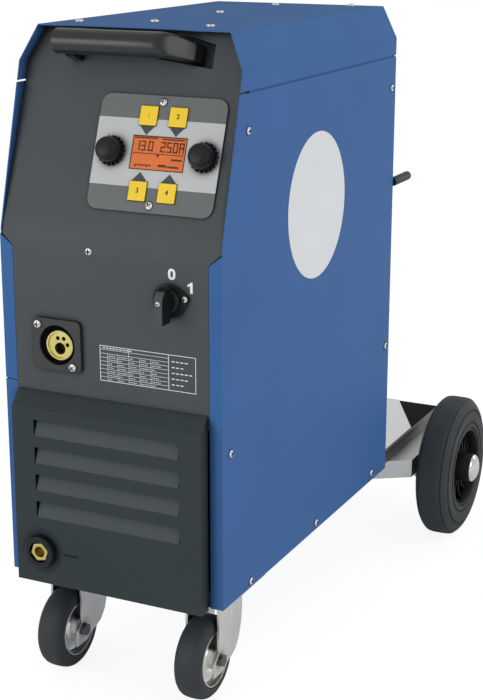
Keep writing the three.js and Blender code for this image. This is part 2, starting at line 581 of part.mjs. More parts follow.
function controlBoard() {
  const halfX = CONTROL.width / 2 - BOARD.margin;
  const halfS = CONTROL.height / 2 - BOARD.margin;
  const plate = box([CONTROL.x - halfX, CONTROL.x + halfX], [-BOARD.back, boardFront],
    [CONTROL_S - halfS, CONTROL_S + halfS]);
  const lcd = box([DISPLAY.x - DISPLAY.width / 2 + 2, DISPLAY.x + DISPLAY.width / 2 - 2],
    [boardFront - 1, PLATE_BACK], [DISPLAY_S - DISPLAY.height / 2 + 2, DISPLAY_S + DISPLAY.height / 2 - 2]);
  const back = -FACE_THICKNESS - CLEARANCE;
  const encoders = controlItems.knobs.map(([x, s]) => rod('y', BOARD.encoder, boardFront - 1, back, [x, 0, s]));
  const bores = controlItems.knobs.map(([x, s]) => hole('y', KNOB.shaft + CLEARANCE,
    boardFront, back + 1, [x, 0, s]));
  const switches = controlItems.keys.map(([x, s]) => box([x - 3, x + 3],
    [boardFront - 1, boardFront + keySwitch], [s - 3, s + 3]));
  const inner = 5;
  const posts = [[-1, -1], [1, -1], [-1, 1], [1, 1]].map(([sx, ss]) => rod('y', BOARD.post,
    boardFront - 1, back, [CONTROL.x + sx * (halfX - inner), 0, CONTROL_S + ss * (halfS - inner)], 12));
  return onFace(cut(join(plate, lcd, ...encoders, ...switches, ...posts), ...bores));
}
piece('control_board', controlBoard(), circuitBoard);

// ---- carry handle: a round grip with one arm that bends back into the pocket ----
function carryHandle() {
  const seat = -POCKET.depth + CLEARANCE;
  const grip = rod('x', HANDLE.radius, HANDLE.left, HANDLE.gripEnd, [0, HANDLE.proud, HANDLE_S], 28);
  const arm = prismZ([
    [HANDLE.gripEnd - 8, HANDLE.proud - HANDLE.radius + 1], [HANDLE.right - 24, 0], [HANDLE.right - 24, seat],
    [HANDLE.right, seat], [HANDLE.right, 6], [HANDLE.right - 8, 14],
    [HANDLE.gripEnd + 4, HANDLE.proud + HANDLE.radius - 3],
    [HANDLE.gripEnd - 8, HANDLE.proud + HANDLE.radius - 2],
  ], HANDLE_S - HANDLE.arm, HANDLE_S + HANDLE.arm);
  const foot = box([HANDLE.left + 6, HANDLE.left + 6 + HANDLE.foot], [seat, HANDLE.proud],
    [HANDLE_S - HANDLE.footHalf, HANDLE_S + HANDLE.footHalf]);
  return onFace(join(grip, arm, foot));
}
piece('carry_handle', carryHandle(), darkPlastic);

// ---- main switch and sockets -----------------------------------------------------
const SWITCH_SHAFT = 3;
const SWITCH_DIAL = 2;

function switchBody() {
  const at = [SWITCH.x, 0, SWITCH.z];
  const dial = rod('y', SWITCH.dial, -CLEARANCE - SWITCH_DIAL, -CLEARANCE, at, ROUND);
  const neck = rod('y', SWITCH.neck, -1, FACE_THICKNESS + 2, at);
  const block = box([SWITCH.x - SWITCH_BLOCK.width / 2, SWITCH.x + SWITCH_BLOCK.width / 2],
    [FACE_THICKNESS + CLEARANCE, SWITCH_BLOCK.back],
    [SWITCH.z - SWITCH_BLOCK.height / 2, SWITCH.z + SWITCH_BLOCK.height / 2]);
  const bore = hole('y', SWITCH_SHAFT + CLEARANCE, -SWITCH.proud, SWITCH_BLOCK.bore, at);
  return cut(join(dial, neck, block), bore);
}
piece('switch_body', switchBody(), blackPlastic);

function switchKnob() {
  const back = -CLEARANCE - SWITCH_DIAL - CLEARANCE;
  const at = [SWITCH.x, 0, SWITCH.z];
  const disc = rod('y', SWITCH.knob, back - 6, back, at, 28);
  const bar = box([SWITCH.x - SWITCH.barWidth / 2, SWITCH.x + SWITCH.barWidth / 2], [-SWITCH.proud, back - 5],
    [SWITCH.z - SWITCH.barLength / 2, SWITCH.z + SWITCH.barLength / 2]);
  const shaft = rod('y', SWITCH_SHAFT, back - 1, 18, at);
  return join(disc, bar, shaft);
}
piece('switch_knob', switchKnob(), blackPlastic);

function euroFlange() {
  const outline = roundedRect(EURO.x, EURO_Z, EURO.width, EURO.height, EURO.corner);
  const plate = prismY(outline, -EURO.plate - CLEARANCE, -CLEARANCE);
  const recess = hole('y', EURO.recess, -EURO.plate - 1, -1.5, [EURO.x, 0, EURO_Z], ROUND);
  const bore = hole('y', EURO_CORE.radius + CLEARANCE, -3, 1, [euroCoreX, 0, EURO_Z], ROUND);
  return cut(plate, recess, bore);
}
piece('euro_socket_flange', euroFlange(), blackPlastic);

// The lipped face holds a wide guide bore, which narrows to the wire's bore, and the
// pin sockets above it.
function euroCore() {
  const { radius, lip, lipDepth, tail, reach, guide, guideDepth, wireBore } = EURO_CORE;
  const front = -EURO.plate;
  const profile = [[front, radius], [14, radius], [14, tail], [reach, tail - 2]];
  const bores = [
    hole('y', lip, front - 1, front + lipDepth, [euroCoreX, 0, EURO_Z], 24),
    hole('y', guide, front - 1, front + guideDepth, [euroCoreX, 0, wireZ]),
    hole('y', wireBore, front - 1, reach + 1, [euroCoreX, 0, wireZ]),
    ...EURO_PINS.places.map(([x, z]) => hole('y', EURO_PINS.radius, front - 1, front + EURO_PINS.depth,
      [euroCoreX + x, 0, EURO_Z + z], 8)),
  ];
  return cut(turned('y', profile, [euroCoreX, 0, EURO_Z], 24), ...bores);
}
piece('euro_socket_core', euroCore(), brass);

function groundRing() {
  const face = -LOWER_PROUD - CLEARANCE;
  const profile = [
    [face - GROUND.proud, GROUND.hex + CLEARANCE], [face - GROUND.proud, GROUND.ring - 1.5],
    [face - GROUND.proud + 1.5, GROUND.ring], [face, GROUND.ring], [face, GROUND.body],
    [22, GROUND.body], [22, GROUND.hex + CLEARANCE],
  ];
  return ring('y', profile, [GROUND.x, 0, GROUND.z], 24);
}
piece('ground_socket_ring', groundRing(), blackPlastic);

function groundCore() {
  const face = -LOWER_PROUD - CLEARANCE;
  const shank = rod('y', GROUND.hex, face - GROUND.proud + 2, 30, [GROUND.x, 0, GROUND.z], 6);
  const slot = hole('y', GROUND.slot, face - GROUND.proud, 0, [GROUND.x, 0, GROUND.z]);
  return cut(shank, slot);
}
piece('ground_socket_core', groundCore(), brass);

// ---- front casters: each fork swivels under its plate, with the wheel swung forward ----
function casterPlate(x) {
  const top = -CLEARANCE;
  const under = top - CASTER_PLATE.thickness;
  const race = under - CASTER_PLATE.raceHeight;
  const headTop = race - 2 * CLEARANCE - FORK.thickness;
  const plate = box([x - CASTER_PLATE.width / 2, x + CASTER_PLATE.width / 2],
    [CASTER.y - CASTER_PLATE.depth / 2, CASTER.y + CASTER_PLATE.depth / 2], [under, top]);
  const centre = [x, CASTER.y, 0];
  const turnedPart = turned('z', [
    [headTop - 4, CASTER_PLATE.pinHead], [headTop, CASTER_PLATE.pinHead], [headTop, CASTER_PLATE.pin],
    [race, CASTER_PLATE.pin], [race, CASTER_PLATE.race], [under + 1, CASTER_PLATE.race],
  ], centre, 28);
  return join(plate, turnedPart);
}

const FORK_TOP = -2 * CLEARANCE - CASTER_PLATE.thickness - CASTER_PLATE.raceHeight;
function casterFork(x) {
  const inner = CASTER.width / 2 + FORK.gap;
  const outer = inner + FORK.thickness;
  const axleY = CASTER.y - CASTER.trail;
  const crownUnder = FORK_TOP - FORK.thickness;
  const axleZ = CASTER_AXLE_Z;
  const knee = FORK_KNEE;
  const leg = [
    [-FORK.toe, FORK_TOP], [-FORK.toe, axleZ + knee.rise], [-knee.reach + 1, axleZ + 1],
    [-knee.reach, axleZ - FORK.foot], [knee.behind, axleZ - FORK.foot],
    [2 * knee.behind, axleZ + FORK_REAR.foot], [knee.calf, axleZ + FORK_REAR.calf],
    [knee.slope, axleZ + FORK_REAR.slope], [knee.bend, axleZ + FORK_REAR.bend],
    [knee.back, axleZ + FORK_REAR.back], [FORK.heel, axleZ + FORK_REAR.heel], [FORK.heel, FORK_TOP],
  ].map(([y, z]) => [axleY + y, z]);
  const legs = join(prismX(leg, x - outer, x - inner), prismX(leg, x + inner, x + outer));
  const crown = box([x - outer, x + outer], [axleY - FORK.toe, axleY + FORK.heel], [crownUnder, FORK_TOP]);
  const disc = rod('z', FORK.crown, crownUnder, FORK_TOP, [x, CASTER.y, 0], 28);
  const pinHole = hole('z', CASTER_PLATE.pin + CLEARANCE, crownUnder - 2, FORK_TOP + 2, [x, CASTER.y, 0]);
  const boltHole = hole('x', CASTER.bolt + CLEARANCE, -outer - 1, outer + 1, [x, axleY, CASTER_AXLE_Z]);
  return cut(join(legs, crown, disc), pinHole, boltHole);
}

function casterAxle(x) {
  const outer = CASTER.width / 2 + FORK.gap + FORK.thickness + CLEARANCE;
  const at = [x, CASTER.y - CASTER.trail, CASTER_AXLE_Z];
  return join(
    rod('x', CASTER.bolt, -outer - 3, outer + 3, at),
    rod('x', 8, -outer - 5, -outer, at, 6),
    rod('x', 8, outer, outer + 5, at, 6));
}

function casterTyre(x) {
  const half = CASTER.width / 2;
  const r = CASTER.radius;
  const bore = CASTER.rim + CLEARANCE;
  return ring('x', [
    [-half, bore], [half, bore], [half, r - 11], [half - 3, r - 4], [half - 9, r],
    [-half + 9, r], [-half + 3, r - 4], [-half, r - 11],
  ], [x, CASTER.y - CASTER.trail, CASTER_AXLE_Z]);
}

function casterRim(x) {
  const half = CASTER.width / 2;
  const rim = CASTER_RIM;
  const edge = half - rim.lipWidth;
  const hubEnd = half + FORK.gap - CLEARANCE;
  const bore = CASTER.bolt + CLEARANCE;
  return ring('x', [
    [-hubEnd, bore], [hubEnd, bore], [hubEnd, rim.hub], [rim.web, rim.root], [rim.web, rim.dish],
    [edge, rim.lip], [edge, CASTER.rim], [-edge, CASTER.rim], [-edge, rim.lip],
    [-rim.web, rim.dish], [-rim.web, rim.root], [-hubEnd, rim.hub],
  ], [x, CASTER.y - CASTER.trail, CASTER_AXLE_Z], 24);
}

for (const [side, x] of [['left', -CASTER.x], ['right', CASTER.x]]) {
  piece(`caster_plate_${side}`, casterPlate(x), zinc);
  piece(`caster_fork_${side}`, casterFork(x), zinc);
  piece(`caster_axle_${side}`, casterAxle(x), steel);
  piece(`caster_tyre_${side}`, casterTyre(x), tyreRubber);
  piece(`caster_rim_${side}`, casterRim(x), zinc);
}

// ---- rear wheels and axle ----------------------------------------------------------
const rearCentre = (x) => [x, REAR_AXLE_Y, REAR_AXLE_Z];
const WHEEL_X = REAR.face - REAR.width / 2;
const LUG_OUTER = CARRIER.lugInner + CARRIER.lugWidth;

function rearTyre(x) {
  const half = REAR.width / 2;
  const r = REAR.radius;
  const bore = REAR.rimRadius + CLEARANCE;
  const side = [
    [half - REAR.rimStep, bore], [half, bore + 5], [half, r - 24], [half - 2, r - 13], [half - 6, r - 5],
    [half - 11, r - 1], [half - 16, r],
  ];
  return ring('x', mirrored(side), rearCentre(x), 40);
}

// A dished rim whose hub stands proud of the wheel's outer face.
const HUB_OUT = REAR.width / 2 + REAR.hubProud;
const HUB_IN = REAR.width / 2 - REAR.rimStep;
function rearRim(side) {
  const half = REAR.width / 2 - REAR.rimStep;
  const web = REAR.web / 2;
  const bore = REAR.axle + CLEARANCE;
  const profile = [
    [-HUB_IN, bore], [HUB_OUT, bore], [HUB_OUT, REAR.hub], [web, REAR.hub + 2], [web, REAR.rimOpening - 2],
    [half, REAR.rimOpening], [half, REAR.rimRadius], [-half, REAR.rimRadius], [-half, REAR.rimOpening],
    [-web, REAR.rimOpening - 2], [-web, REAR.hub + 2], [-HUB_IN, REAR.hub],
  ];
  const right = ring('x', profile, rearCentre(WHEEL_X));
  return side > 0 ? right : right.mirror([1, 0, 0]);
}

const CAP_FROM = WHEEL_X + HUB_OUT + CLEARANCE;
const AXLE_END = CAP_FROM + HUB_CAP.seat;
function hubCap(side) {
  const dome = [];
  const steps = 5;
  const rise = HUB_CAP.height - HUB_CAP.flange;
  for (let i = 0; i < steps; i++) {
    const angle = (i / steps) * Math.PI / 2;
    dome.push([CAP_FROM + HUB_CAP.flange + rise * Math.sin(angle), HUB_CAP.radius * Math.cos(angle)]);
  }
  const profile = [[CAP_FROM, HUB_CAP.radius], ...dome, [CAP_FROM + HUB_CAP.height, 1]];
  const cap = turned('x', profile, rearCentre(0), 24);
  const blind = hole('x', REAR.axle + CLEARANCE, CAP_FROM - 1, AXLE_END + CLEARANCE, rearCentre(0));
  const right = cut(cap, blind);
  return side > 0 ? right : right.mirror([1, 0, 0]);
}

function rearAxle() {
  const collar = REAR.axle + 4;
  const collarEnd = WHEEL_X - HUB_IN - CLEARANCE;
  const collarFrom = LUG_OUTER + CLEARANCE;
  return turned('x', [
    [-AXLE_END, REAR.axle], [-collarEnd, REAR.axle], [-collarEnd, collar], [-collarFrom, collar],
    [-collarFrom, REAR.axle], [collarFrom, REAR.axle], [collarFrom, collar], [collarEnd, collar],
    [collarEnd, REAR.axle], [AXLE_END, REAR.axle],
  ], rearCentre(0), 24);
}
piece('rear_axle', rearAxle(), steel);
for (const [side, sign] of [['left', -1], ['right', 1]]) {
  piece(`rear_tyre_${side}`, rearTyre(sign * WHEEL_X), tyreRubber);
  piece(`rear_rim_${side}`, rearRim(sign), blackPlastic);
  piece(`hub_cap_${side}`, hubCap(sign), zinc);
}

// ---- axle carrier and bottle tray ----------------------------------------------------
// A folded pan whose front edge flares back from under the cabinet to the wheels.
function axleCarrier() {
  const { nose, under, widest, from, to, waist, waistFrom, rear } = CARRIER_FLARE;
  const outline = mirrored([[nose, -under], [widest, from], [widest, to], [waist, waistFrom], [waist, rear]])
    .map(([x, y]) => [x, CABINET_DEPTH + y]);
  const top = -CLEARANCE;
  const pan = prismZ(outline, top - CARRIER.depth, top);
  const hollow = prismZ(inset(outline, CARRIER.sheet), top - CARRIER.depth - 1, top - CARRIER.sheet);
  const lugs = [-1, 1].map((side) => {
    const span = side > 0 ? [CARRIER.lugInner, LUG_OUTER] : [-LUG_OUTER, -CARRIER.lugInner];
    return box(span, [REAR_AXLE_Y - CARRIER.lugHalf, REAR_AXLE_Y + CARRIER.lugHalf],
      [REAR_AXLE_Z - CARRIER.lugHalf, top - 1]);
  });
  const bore = hole('x', REAR.axle + CLEARANCE, -HALF * 2, HALF * 2, rearCentre(0));
  return cut(join(cut(pan, hollow), ...lugs), bore);
}
piece('axle_carrier', axleCarrier(), galvanised);

// The tray is a pan upside down: its edges are folded down all round.
const DECK_TOP = TRAY.height - FLOOR_PLATE.thickness - CLEARANCE;
function bottleTray() {
  const half = TRAY.width / 2;
  const front = CABINET_DEPTH + CLEARANCE;
  return cut(
    box([-half, half], [front, TRAY_REAR], [0, DECK_TOP]),
    box([-half + TRAY.wall, half - TRAY.wall], [front + TRAY.wall, TRAY_REAR - TRAY.wall],
      [-1, DECK_TOP - TRAY.wall]));
}
piece('bottle_tray', bottleTray(), darkPaint);

function trayFloorPlate() {
  const half = TRAY.width / 2 - TRAY.wall;
  const front = CABINET_DEPTH + TRAY.wall;
  const rear = TRAY_REAR - TRAY.wall;
  const { thickness, cutWidth, cutLength } = FLOOR_PLATE;
  const outline = mirrored([[half, front], [half, rear - cutLength], [half - cutWidth, rear]]);
  return prismZ(outline, TRAY.height - thickness, TRAY.height);
}
piece('tray_floor_plate', trayFloorPlate(), galvanised);

// Two prongs and a cross bar hold a gas bottle upright against the back.
function bottleBracket() {
  const face = REAR_SHEET + CLEARANCE;
  const barY = CABINET_DEPTH + BRACKET.standoff;
  const tip = CABINET_DEPTH + BRACKET.reach;
  const plate = box([-BRACKET.plateWidth / 2, BRACKET.plateWidth / 2], [face, face + 3],
    [BRACKET.z - BRACKET.plateHeight / 2, BRACKET.z + BRACKET.plateHeight / 2]);
  const web = box([-BRACKET.plateWidth / 3, BRACKET.plateWidth / 3], [face + 1, barY],
    [BRACKET.z - 4, BRACKET.z + 4]);
  const bar = rod('x', BRACKET.rod, -BRACKET.x, BRACKET.x, [0, barY, BRACKET.z], 16);
  const prongs = [-1, 1].map((side) => turned('y', [
    [barY - BRACKET.rod, BRACKET.rod - 1], [barY - BRACKET.rod + 1, BRACKET.rod],
    [tip - BRACKET.rod, BRACKET.rod], [tip - BRACKET.rod / 3, BRACKET.rod * 0.75], [tip, BRACKET.rod / 4],
  ], [side * BRACKET.x, 0, BRACKET.z], 16));
  return join(plate, web, bar, ...prongs);
}
piece('bottle_bracket', bottleBracket(), galvanised);

// ---- rear fittings -------------------------------------------------------------------
function fitting({ x, z, body, flange, reach, bore }) {
  const inside = REAR_INNER - CLEARANCE;
  const outside = REAR_SHEET + CLEARANCE;
  const solid = turned('y', [
    [inside - 7, flange], [inside, flange], [inside, body], [outside, body], [outside, flange],
    [outside + 5, flange], [outside + 6, body + 1], [outside + reach, body - 1],
  ], [x, 0, z], 24);
  return cut(solid, hole('y', bore, inside - 8, outside + reach + 1, [x, 0, z]));
}
piece('cable_gland', fitting(GLAND), blackPlastic);
piece('gas_inlet', fitting(GAS), brass);

// ---- wire spool and feed -----------------------------------------------------------------
const PARTITION_FACE = PARTITION_X - CLEARANCE;
const spoolLeft = SPOOL.x - SPOOL.width / 2;
const spoolRight = SPOOL.x + SPOOL.width / 2;

// A wire basket spool: hub, web, the wound wire and a flange at each side of it.
function wireSpool() {
  const half = SPOOL.width / 2;
  const wound = half - SPOOL.flange;
  const web = SPOOL.web / 2;
  const side = [
    [half, SPOOL.bore], [half, SPOOL.hub], [web, SPOOL.hub], [web, WIRE.inner], [half, WIRE.inner],
    [half, SPOOL.radius], [wound, SPOOL.radius], [wound, WIRE.outer],
  ];
  return ring('x', mirrored(side), [SPOOL.x, SPOOL_Y, SPOOL_Z], 24);
}
piece('wire_spool', wireSpool(), steel);

function spoolMandrel() {
  const radius = SPOOL.bore - CLEARANCE * 2;
  return turned('x', [
    [spoolLeft - CLEARANCE - 7, radius + 5], [spoolLeft - CLEARANCE, radius + 5],
    [spoolLeft - CLEARANCE, radius], [spoolRight + CLEARANCE, radius],
    [spoolRight + CLEARANCE, radius + 10], [PARTITION_FACE, radius + 10],
  ], [0, SPOOL_Y, SPOOL_Z], 24);
}
piece('spool_mandrel', spoolMandrel(), blackPlastic);

const FEED_FACE = PARTITION_FACE - FEED_PLATE.thickness;
const pivotY = FEED.y + FEED.pivot;
const idlerZ = wireZ + FEED.pinch / 2 + FEED.idler;
const PIVOT_PIN = 5;
const IDLER_PIN = 4;

function feedDrive() {
  const plate = box([FEED_FACE, PARTITION_FACE], [FEED.y - FEED_PLATE.width / 2, FEED.y + FEED_PLATE.width / 2],
    [SHELF_HEIGHT + FEED_PLATE.rise, SHELF_HEIGHT + FEED_PLATE.rise + FEED_PLATE.height]);
  const right = PARTITION_X + SHEET + CLEARANCE;
  const neck = rod('x', FEED_MOTOR.neck, PARTITION_FACE - 1, right + 1, [0, FEED.y, rollerZ], ROUND);
  const motor = rod('x', FEED_MOTOR.radius, right, right + FEED_MOTOR.length, [0, FEED.y, rollerZ], ROUND);
  const bores = [
    hole('x', FEED.shaft + CLEARANCE, FEED_FACE - 1, PARTITION_X, [0, FEED.y, rollerZ]),
    hole('x', PIVOT_PIN + CLEARANCE, FEED_FACE - 1, FEED_FACE + 6, [0, pivotY, idlerZ]),
  ];
  return cut(join(plate, neck, motor), ...bores);
}
piece('feed_drive', feedDrive(), greyPlastic);

const rollerProfile = (radius, half) => [
  [-half, radius], [-1.5, radius], [0, radius - 1], [1.5, radius], [half, radius],
];
piece('drive_roller', join(
  turned('x', rollerProfile(FEED.roller, FEED.width / 2), [euroCoreX, FEED.y, rollerZ], 24),
  rod('x', FEED.shaft, euroCoreX, PARTITION_FACE, [0, FEED.y, rollerZ])), steel);

const ARM_FROM = euroCoreX + FEED.width / 2 + CLEARANCE;
function pressureArm() {
  const to = ARM_FROM + FEED.arm;
  const bar = box([ARM_FROM, to], [FEED.y - FEED.armReach, pivotY],
    [idlerZ - FEED.armHalf, idlerZ + FEED.armHalf]);
  const eye = rod('x', FEED.eye, ARM_FROM, to, [0, pivotY, idlerZ]);
  const pivot = rod('x', PIVOT_PIN, to - 1, FEED_FACE + 5, [0, pivotY, idlerZ]);
  const pin = rod('x', IDLER_PIN, euroCoreX - FEED.width / 2 - 3, ARM_FROM + 1, [0, FEED.y, idlerZ]);
  return join(bar, eye, pivot, pin);
}
piece('pressure_arm', pressureArm(), darkPlastic);

function pressureRoller() {
  const wheel = turned('x', rollerProfile(FEED.idler, FEED.width / 2), [euroCoreX, FEED.y, idlerZ], 24);
  const from = euroCoreX - FEED.width;
  const to = euroCoreX + FEED.width;
  return cut(wheel, hole('x', IDLER_PIN + CLEARANCE, from, to, [0, FEED.y, idlerZ]));
}
piece('pressure_roller', pressureRoller(), steel);

// ---- fan, transformer and rectifier ----------------------------------------------------------
const FAN_STRAP_Y = REAR_INNER - FAN.strap;
const FAN_BLADES_TO = REAR_INNER - FAN.behind;
const FAN_BLADES_FROM = FAN_BLADES_TO - FAN.depth;
function fanMotor() {
  const halfStrap = FAN.spread + FAN.post;
  const strap = box([FAN.x - halfStrap, FAN.x + halfStrap], [FAN_STRAP_Y, FAN_STRAP_Y + 4],
    [FAN.z - 8, FAN.z + 8]);
  const posts = [-1, 1].map((side) => rod('y', FAN.post, FAN_STRAP_Y + 1, REAR_INNER - CLEARANCE,
    [FAN.x + side * FAN.spread, 0, FAN.z], 12));
  const motor = rod('y', FAN.motor, FAN_STRAP_Y + 8 - FAN.motorLength, FAN_STRAP_Y + 8, [FAN.x, 0, FAN.z], 28);
  const shaft = rod('y', FAN.post, FAN_STRAP_Y, FAN_BLADES_TO - 2, [FAN.x, 0, FAN.z], 12);
  return join(strap, ...posts, motor, shaft);
}
piece('fan_motor', fanMotor(), darkPaint);

function fanImpeller() {
  const centre = [FAN.x, 0, FAN.z];
  const hub = rod('y', FAN.hub, FAN_BLADES_FROM, FAN_BLADES_TO, centre, 24);
  const middle = (FAN_BLADES_FROM + FAN_BLADES_TO) / 2;
  const pitch = Math.PI / 6;
  const blades = [];
  for (let i = 0; i < FAN.blades; i++) {
    const blade = new THREE.BoxGeometry(FAN.blade - FAN.hub + 4, 2, 30);
    const turn = new THREE.Matrix4().makeTranslation(FAN.x, middle, FAN.z)
      .multiply(new THREE.Matrix4().makeRotationY(i * 2 * Math.PI / FAN.blades))
      .multiply(new THREE.Matrix4().makeTranslation((FAN.blade + FAN.hub - 4) / 2, 0, 0))
      .multiply(new THREE.Matrix4().makeRotationX(pitch));
    blades.push(moved(blade, turn));
  }
  const bore = hole('y', FAN.post + CLEARANCE, FAN_BLADES_FROM - 1, FAN_BLADES_TO + 1, centre);
  return cut(join(hub, ...blades), bore);
}
piece('fan_impeller', fanImpeller(), blackPlastic);

const STAND = SHEET + CLEARANCE;    // height of what rests on the chassis base
function transformer() {
  const { x, y, width, depth, height, coil } = TRANSFORMER;
  const core = box([x - width / 2, x + width / 2], [y - depth / 4, y + depth / 4], [STAND, STAND + height]);
  const winding = box([x - width / 2 + coil, x + width / 2 - coil], [y - depth / 2, y + depth / 2],
    [STAND + coil, STAND + height - coil]);
  return join(core, winding);
}
piece('transformer', transformer(), copper);

function rectifier() {
  const { x, y, width, depth, height, fins } = RECTIFIER;
  const block = box([x - width / 2, x + width / 2], [y - depth / 2, y + depth / 2], [STAND, STAND + height]);
  const pitch = width / (fins + 0.5);
  const grooves = [];
  for (let i = 0; i < fins; i++) {
    const from = x - width / 2 + (i + 0.5) * pitch;
    grooves.push(box([from, from + pitch / 2], [y - depth, y + depth], [STAND + 30, STAND + height + 1]));
  }
  return cut(block, ...grooves);
}
piece('rectifier', rectifier(), steel);

export default machine;
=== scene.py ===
# MIG welding machine on a cart, dressed part by part in the order in which it is
# put together: shell, front, controls, sockets, casters, wheels, tray, inside.
# Metres, +Z up, the front faces -Y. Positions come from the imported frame.
import math

import bmesh
import bpy
from mathutils import Matrix, Vector


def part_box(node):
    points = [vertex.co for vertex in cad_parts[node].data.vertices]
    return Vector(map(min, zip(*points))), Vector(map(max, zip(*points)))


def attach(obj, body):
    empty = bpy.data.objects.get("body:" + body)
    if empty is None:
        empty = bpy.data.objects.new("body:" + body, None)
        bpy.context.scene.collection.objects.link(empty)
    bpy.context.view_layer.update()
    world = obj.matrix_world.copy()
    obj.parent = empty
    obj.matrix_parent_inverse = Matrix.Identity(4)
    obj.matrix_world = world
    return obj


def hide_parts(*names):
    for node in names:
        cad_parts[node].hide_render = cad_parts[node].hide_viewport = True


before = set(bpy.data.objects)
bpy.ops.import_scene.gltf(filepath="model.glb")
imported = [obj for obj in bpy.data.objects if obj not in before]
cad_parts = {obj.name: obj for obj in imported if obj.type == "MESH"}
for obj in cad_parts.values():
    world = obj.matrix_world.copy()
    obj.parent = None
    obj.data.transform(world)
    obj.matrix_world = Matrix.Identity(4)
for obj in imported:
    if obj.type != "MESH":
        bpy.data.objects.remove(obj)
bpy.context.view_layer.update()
scene = bpy.context.scene
mm = 0.001

# The studio: a white floor and backdrop under even light, and a camera where the
# photographer stood, found from the cabinet's corners in the 483 x 700 photograph.
side_low, side_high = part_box("side_panel_right")
front_y = side_low.y
base_z = side_low.z

camera_from_front = Vector((855.6 * mm, -1429.3 * mm, 769.2 * mm))
camera_azimuth = math.radians(25.86)
camera_elevation = math.radians(16.16)
photo_long_side = 700
focal_pixels = 1555

camera_data = bpy.data.cameras.new("camera")
camera_data.sensor_width = 36
camera_data.lens = focal_pixels / photo_long_side * camera_data.sensor_width
camera = bpy.data.objects.new("camera", camera_data)
camera.location = camera_from_front + Vector((0, front_y, base_z))
camera.rotation_euler = (math.pi / 2 - camera_elevation, 0, camera_azimuth)
scene.collection.objects.link(camera)
scene.camera = camera
scene.view_settings.view_transform = "Standard"


def add_node(tree, kind, inputs=(), **settings):
    """A new node with these settings, and with values for some of its inputs."""
    node = tree.nodes.new(kind)
    for setting, value in settings.items():
        setattr(node, setting, value)
    for place, value in dict(inputs).items():
        node.inputs[place].default_value = value
    return node


def seen_directly(tree):
    """1 for rays that come straight from the camera or through glass, else 0."""
    path = add_node(tree, "ShaderNodeLightPath")
    either = add_node(tree, "ShaderNodeMath", operation="MAXIMUM")
    tree.links.new(path.outputs["Is Camera Ray"], either.inputs[0])
    tree.links.new(path.outputs["Is Transmission Ray"], either.inputs[1])
    return either.outputs[0]


def mixed(tree, share, one, two, output):
    """Sends two shaders to the output. share says how much of the second there is."""
    mix = add_node(tree, "ShaderNodeMixShader")
    for number, source in enumerate((share, one.outputs[0], two.outputs[0])):
        tree.links.new(source, mix.inputs[number])
    tree.links.new(mix.outputs[0], add_node(tree, output).inputs["Surface"])


world = bpy.data.worlds.new("studio")
world.use_nodes = True
scene.world = world
sky = world.node_tree
sky.nodes.clear()
ambient, backdrop = [add_node(sky, "ShaderNodeBackground", {"Color": (1, 1, 1, 1), "Strength": strength})
                     for strength in (0.62, 1.0)]
mixed(sky, seen_directly(sky), ambient, backdrop, "ShaderNodeOutputWorld")


def softbox(name, place, target, size, power):
    light = bpy.data.lights.new(name, "AREA")
    light.shape = "SQUARE"
    light.size = size
    light.energy = power
    lamp = bpy.data.objects.new(name, light)
    lamp.location = place
    lamp.rotation_euler = (Vector(target) - Vector(place)).to_track_quat("-Z", "Y").to_euler()
    scene.collection.objects.link(lamp)


middle = (0, 0, 0.4)
softbox("key", (-1.9, -3.1, 1.05), middle, 1.8, 30)
softbox("side", (3.0, -0.6, 1.6), middle, 1.8, 18)
softbox("back", (1.8, 3.0, 1.6), middle, 1.6, 12)

floor_reach = 12
floor_corners = [(x * floor_reach, y * floor_reach, 0) for x, y in ((-1, -1), (1, -1), (1, 1), (-1, 1))]
floor_mesh = bpy.data.meshes.new("floor")
floor_mesh.from_pydata(floor_corners, [], [(0, 1, 2, 3)])
floor = bpy.data.objects.new("floor", floor_mesh)
scene.collection.objects.link(floor)
floor_material = bpy.data.materials.new("floor")
floor_material.use_nodes = True
floor_tree = floor_material.node_tree
floor_tree.nodes.clear()
matt_white = add_node(floor_tree, "ShaderNodeBsdfDiffuse", {"Color": (0.92, 0.92, 0.92, 1)})
glow = add_node(floor_tree, "ShaderNodeEmission", {"Strength": 1.14})
shadow_share = 0.22
glow_share = add_node(floor_tree, "ShaderNodeMath", {1: 1 - shadow_share}, operation="MULTIPLY")
floor_tree.links.new(seen_directly(floor_tree), glow_share.inputs[0])
mixed(floor_tree, glow_share.outputs[0], matt_white, glow, "ShaderNodeOutputMaterial")
floor_mesh.materials.append(floor_material)


# The shell: folded 1.5 mm steel sheet, powder coated blue. Two sides, a door in the
# left one, a chamfered top and the back. Folds and cut edges are slightly rounded.
def linear(colour):
    """An sRGB colour in 0 to 255, as the shader's linear values."""
    values = [c / 255 for c in colour]
    return tuple(c / 12.92 if c <= 0.04045 else ((c + 0.055) / 1.055) ** 2.4 for c in values) + (1,)


def new_material(name, roughness, metallic, shine=0.5):
    material = bpy.data.materials.new(name)
    material.use_nodes = True
    shader = material.node_tree.nodes["Principled BSDF"]
    shader.inputs["Roughness"].default_value = roughness
    shader.inputs["Metallic"].default_value = metallic
    shader.inputs["Specular IOR Level"].default_value = shine
    return material, material.node_tree


def noise(tree, scale, stretch=(1, 1, 1), detail=3):
    """Noise in the object's own metres. scale is in waves per metre."""
    place = add_node(tree, "ShaderNodeTexCoord")
    mapping = add_node(tree, "ShaderNodeMapping", {"Scale": stretch})
    texture = add_node(tree, "ShaderNodeTexNoise", {"Scale": scale, "Detail": detail})
    tree.links.new(place.outputs["Object"], mapping.inputs["Vector"])
    tree.links.new(mapping.outputs["Vector"], texture.inputs["Vector"])
    return texture.outputs["Fac"]


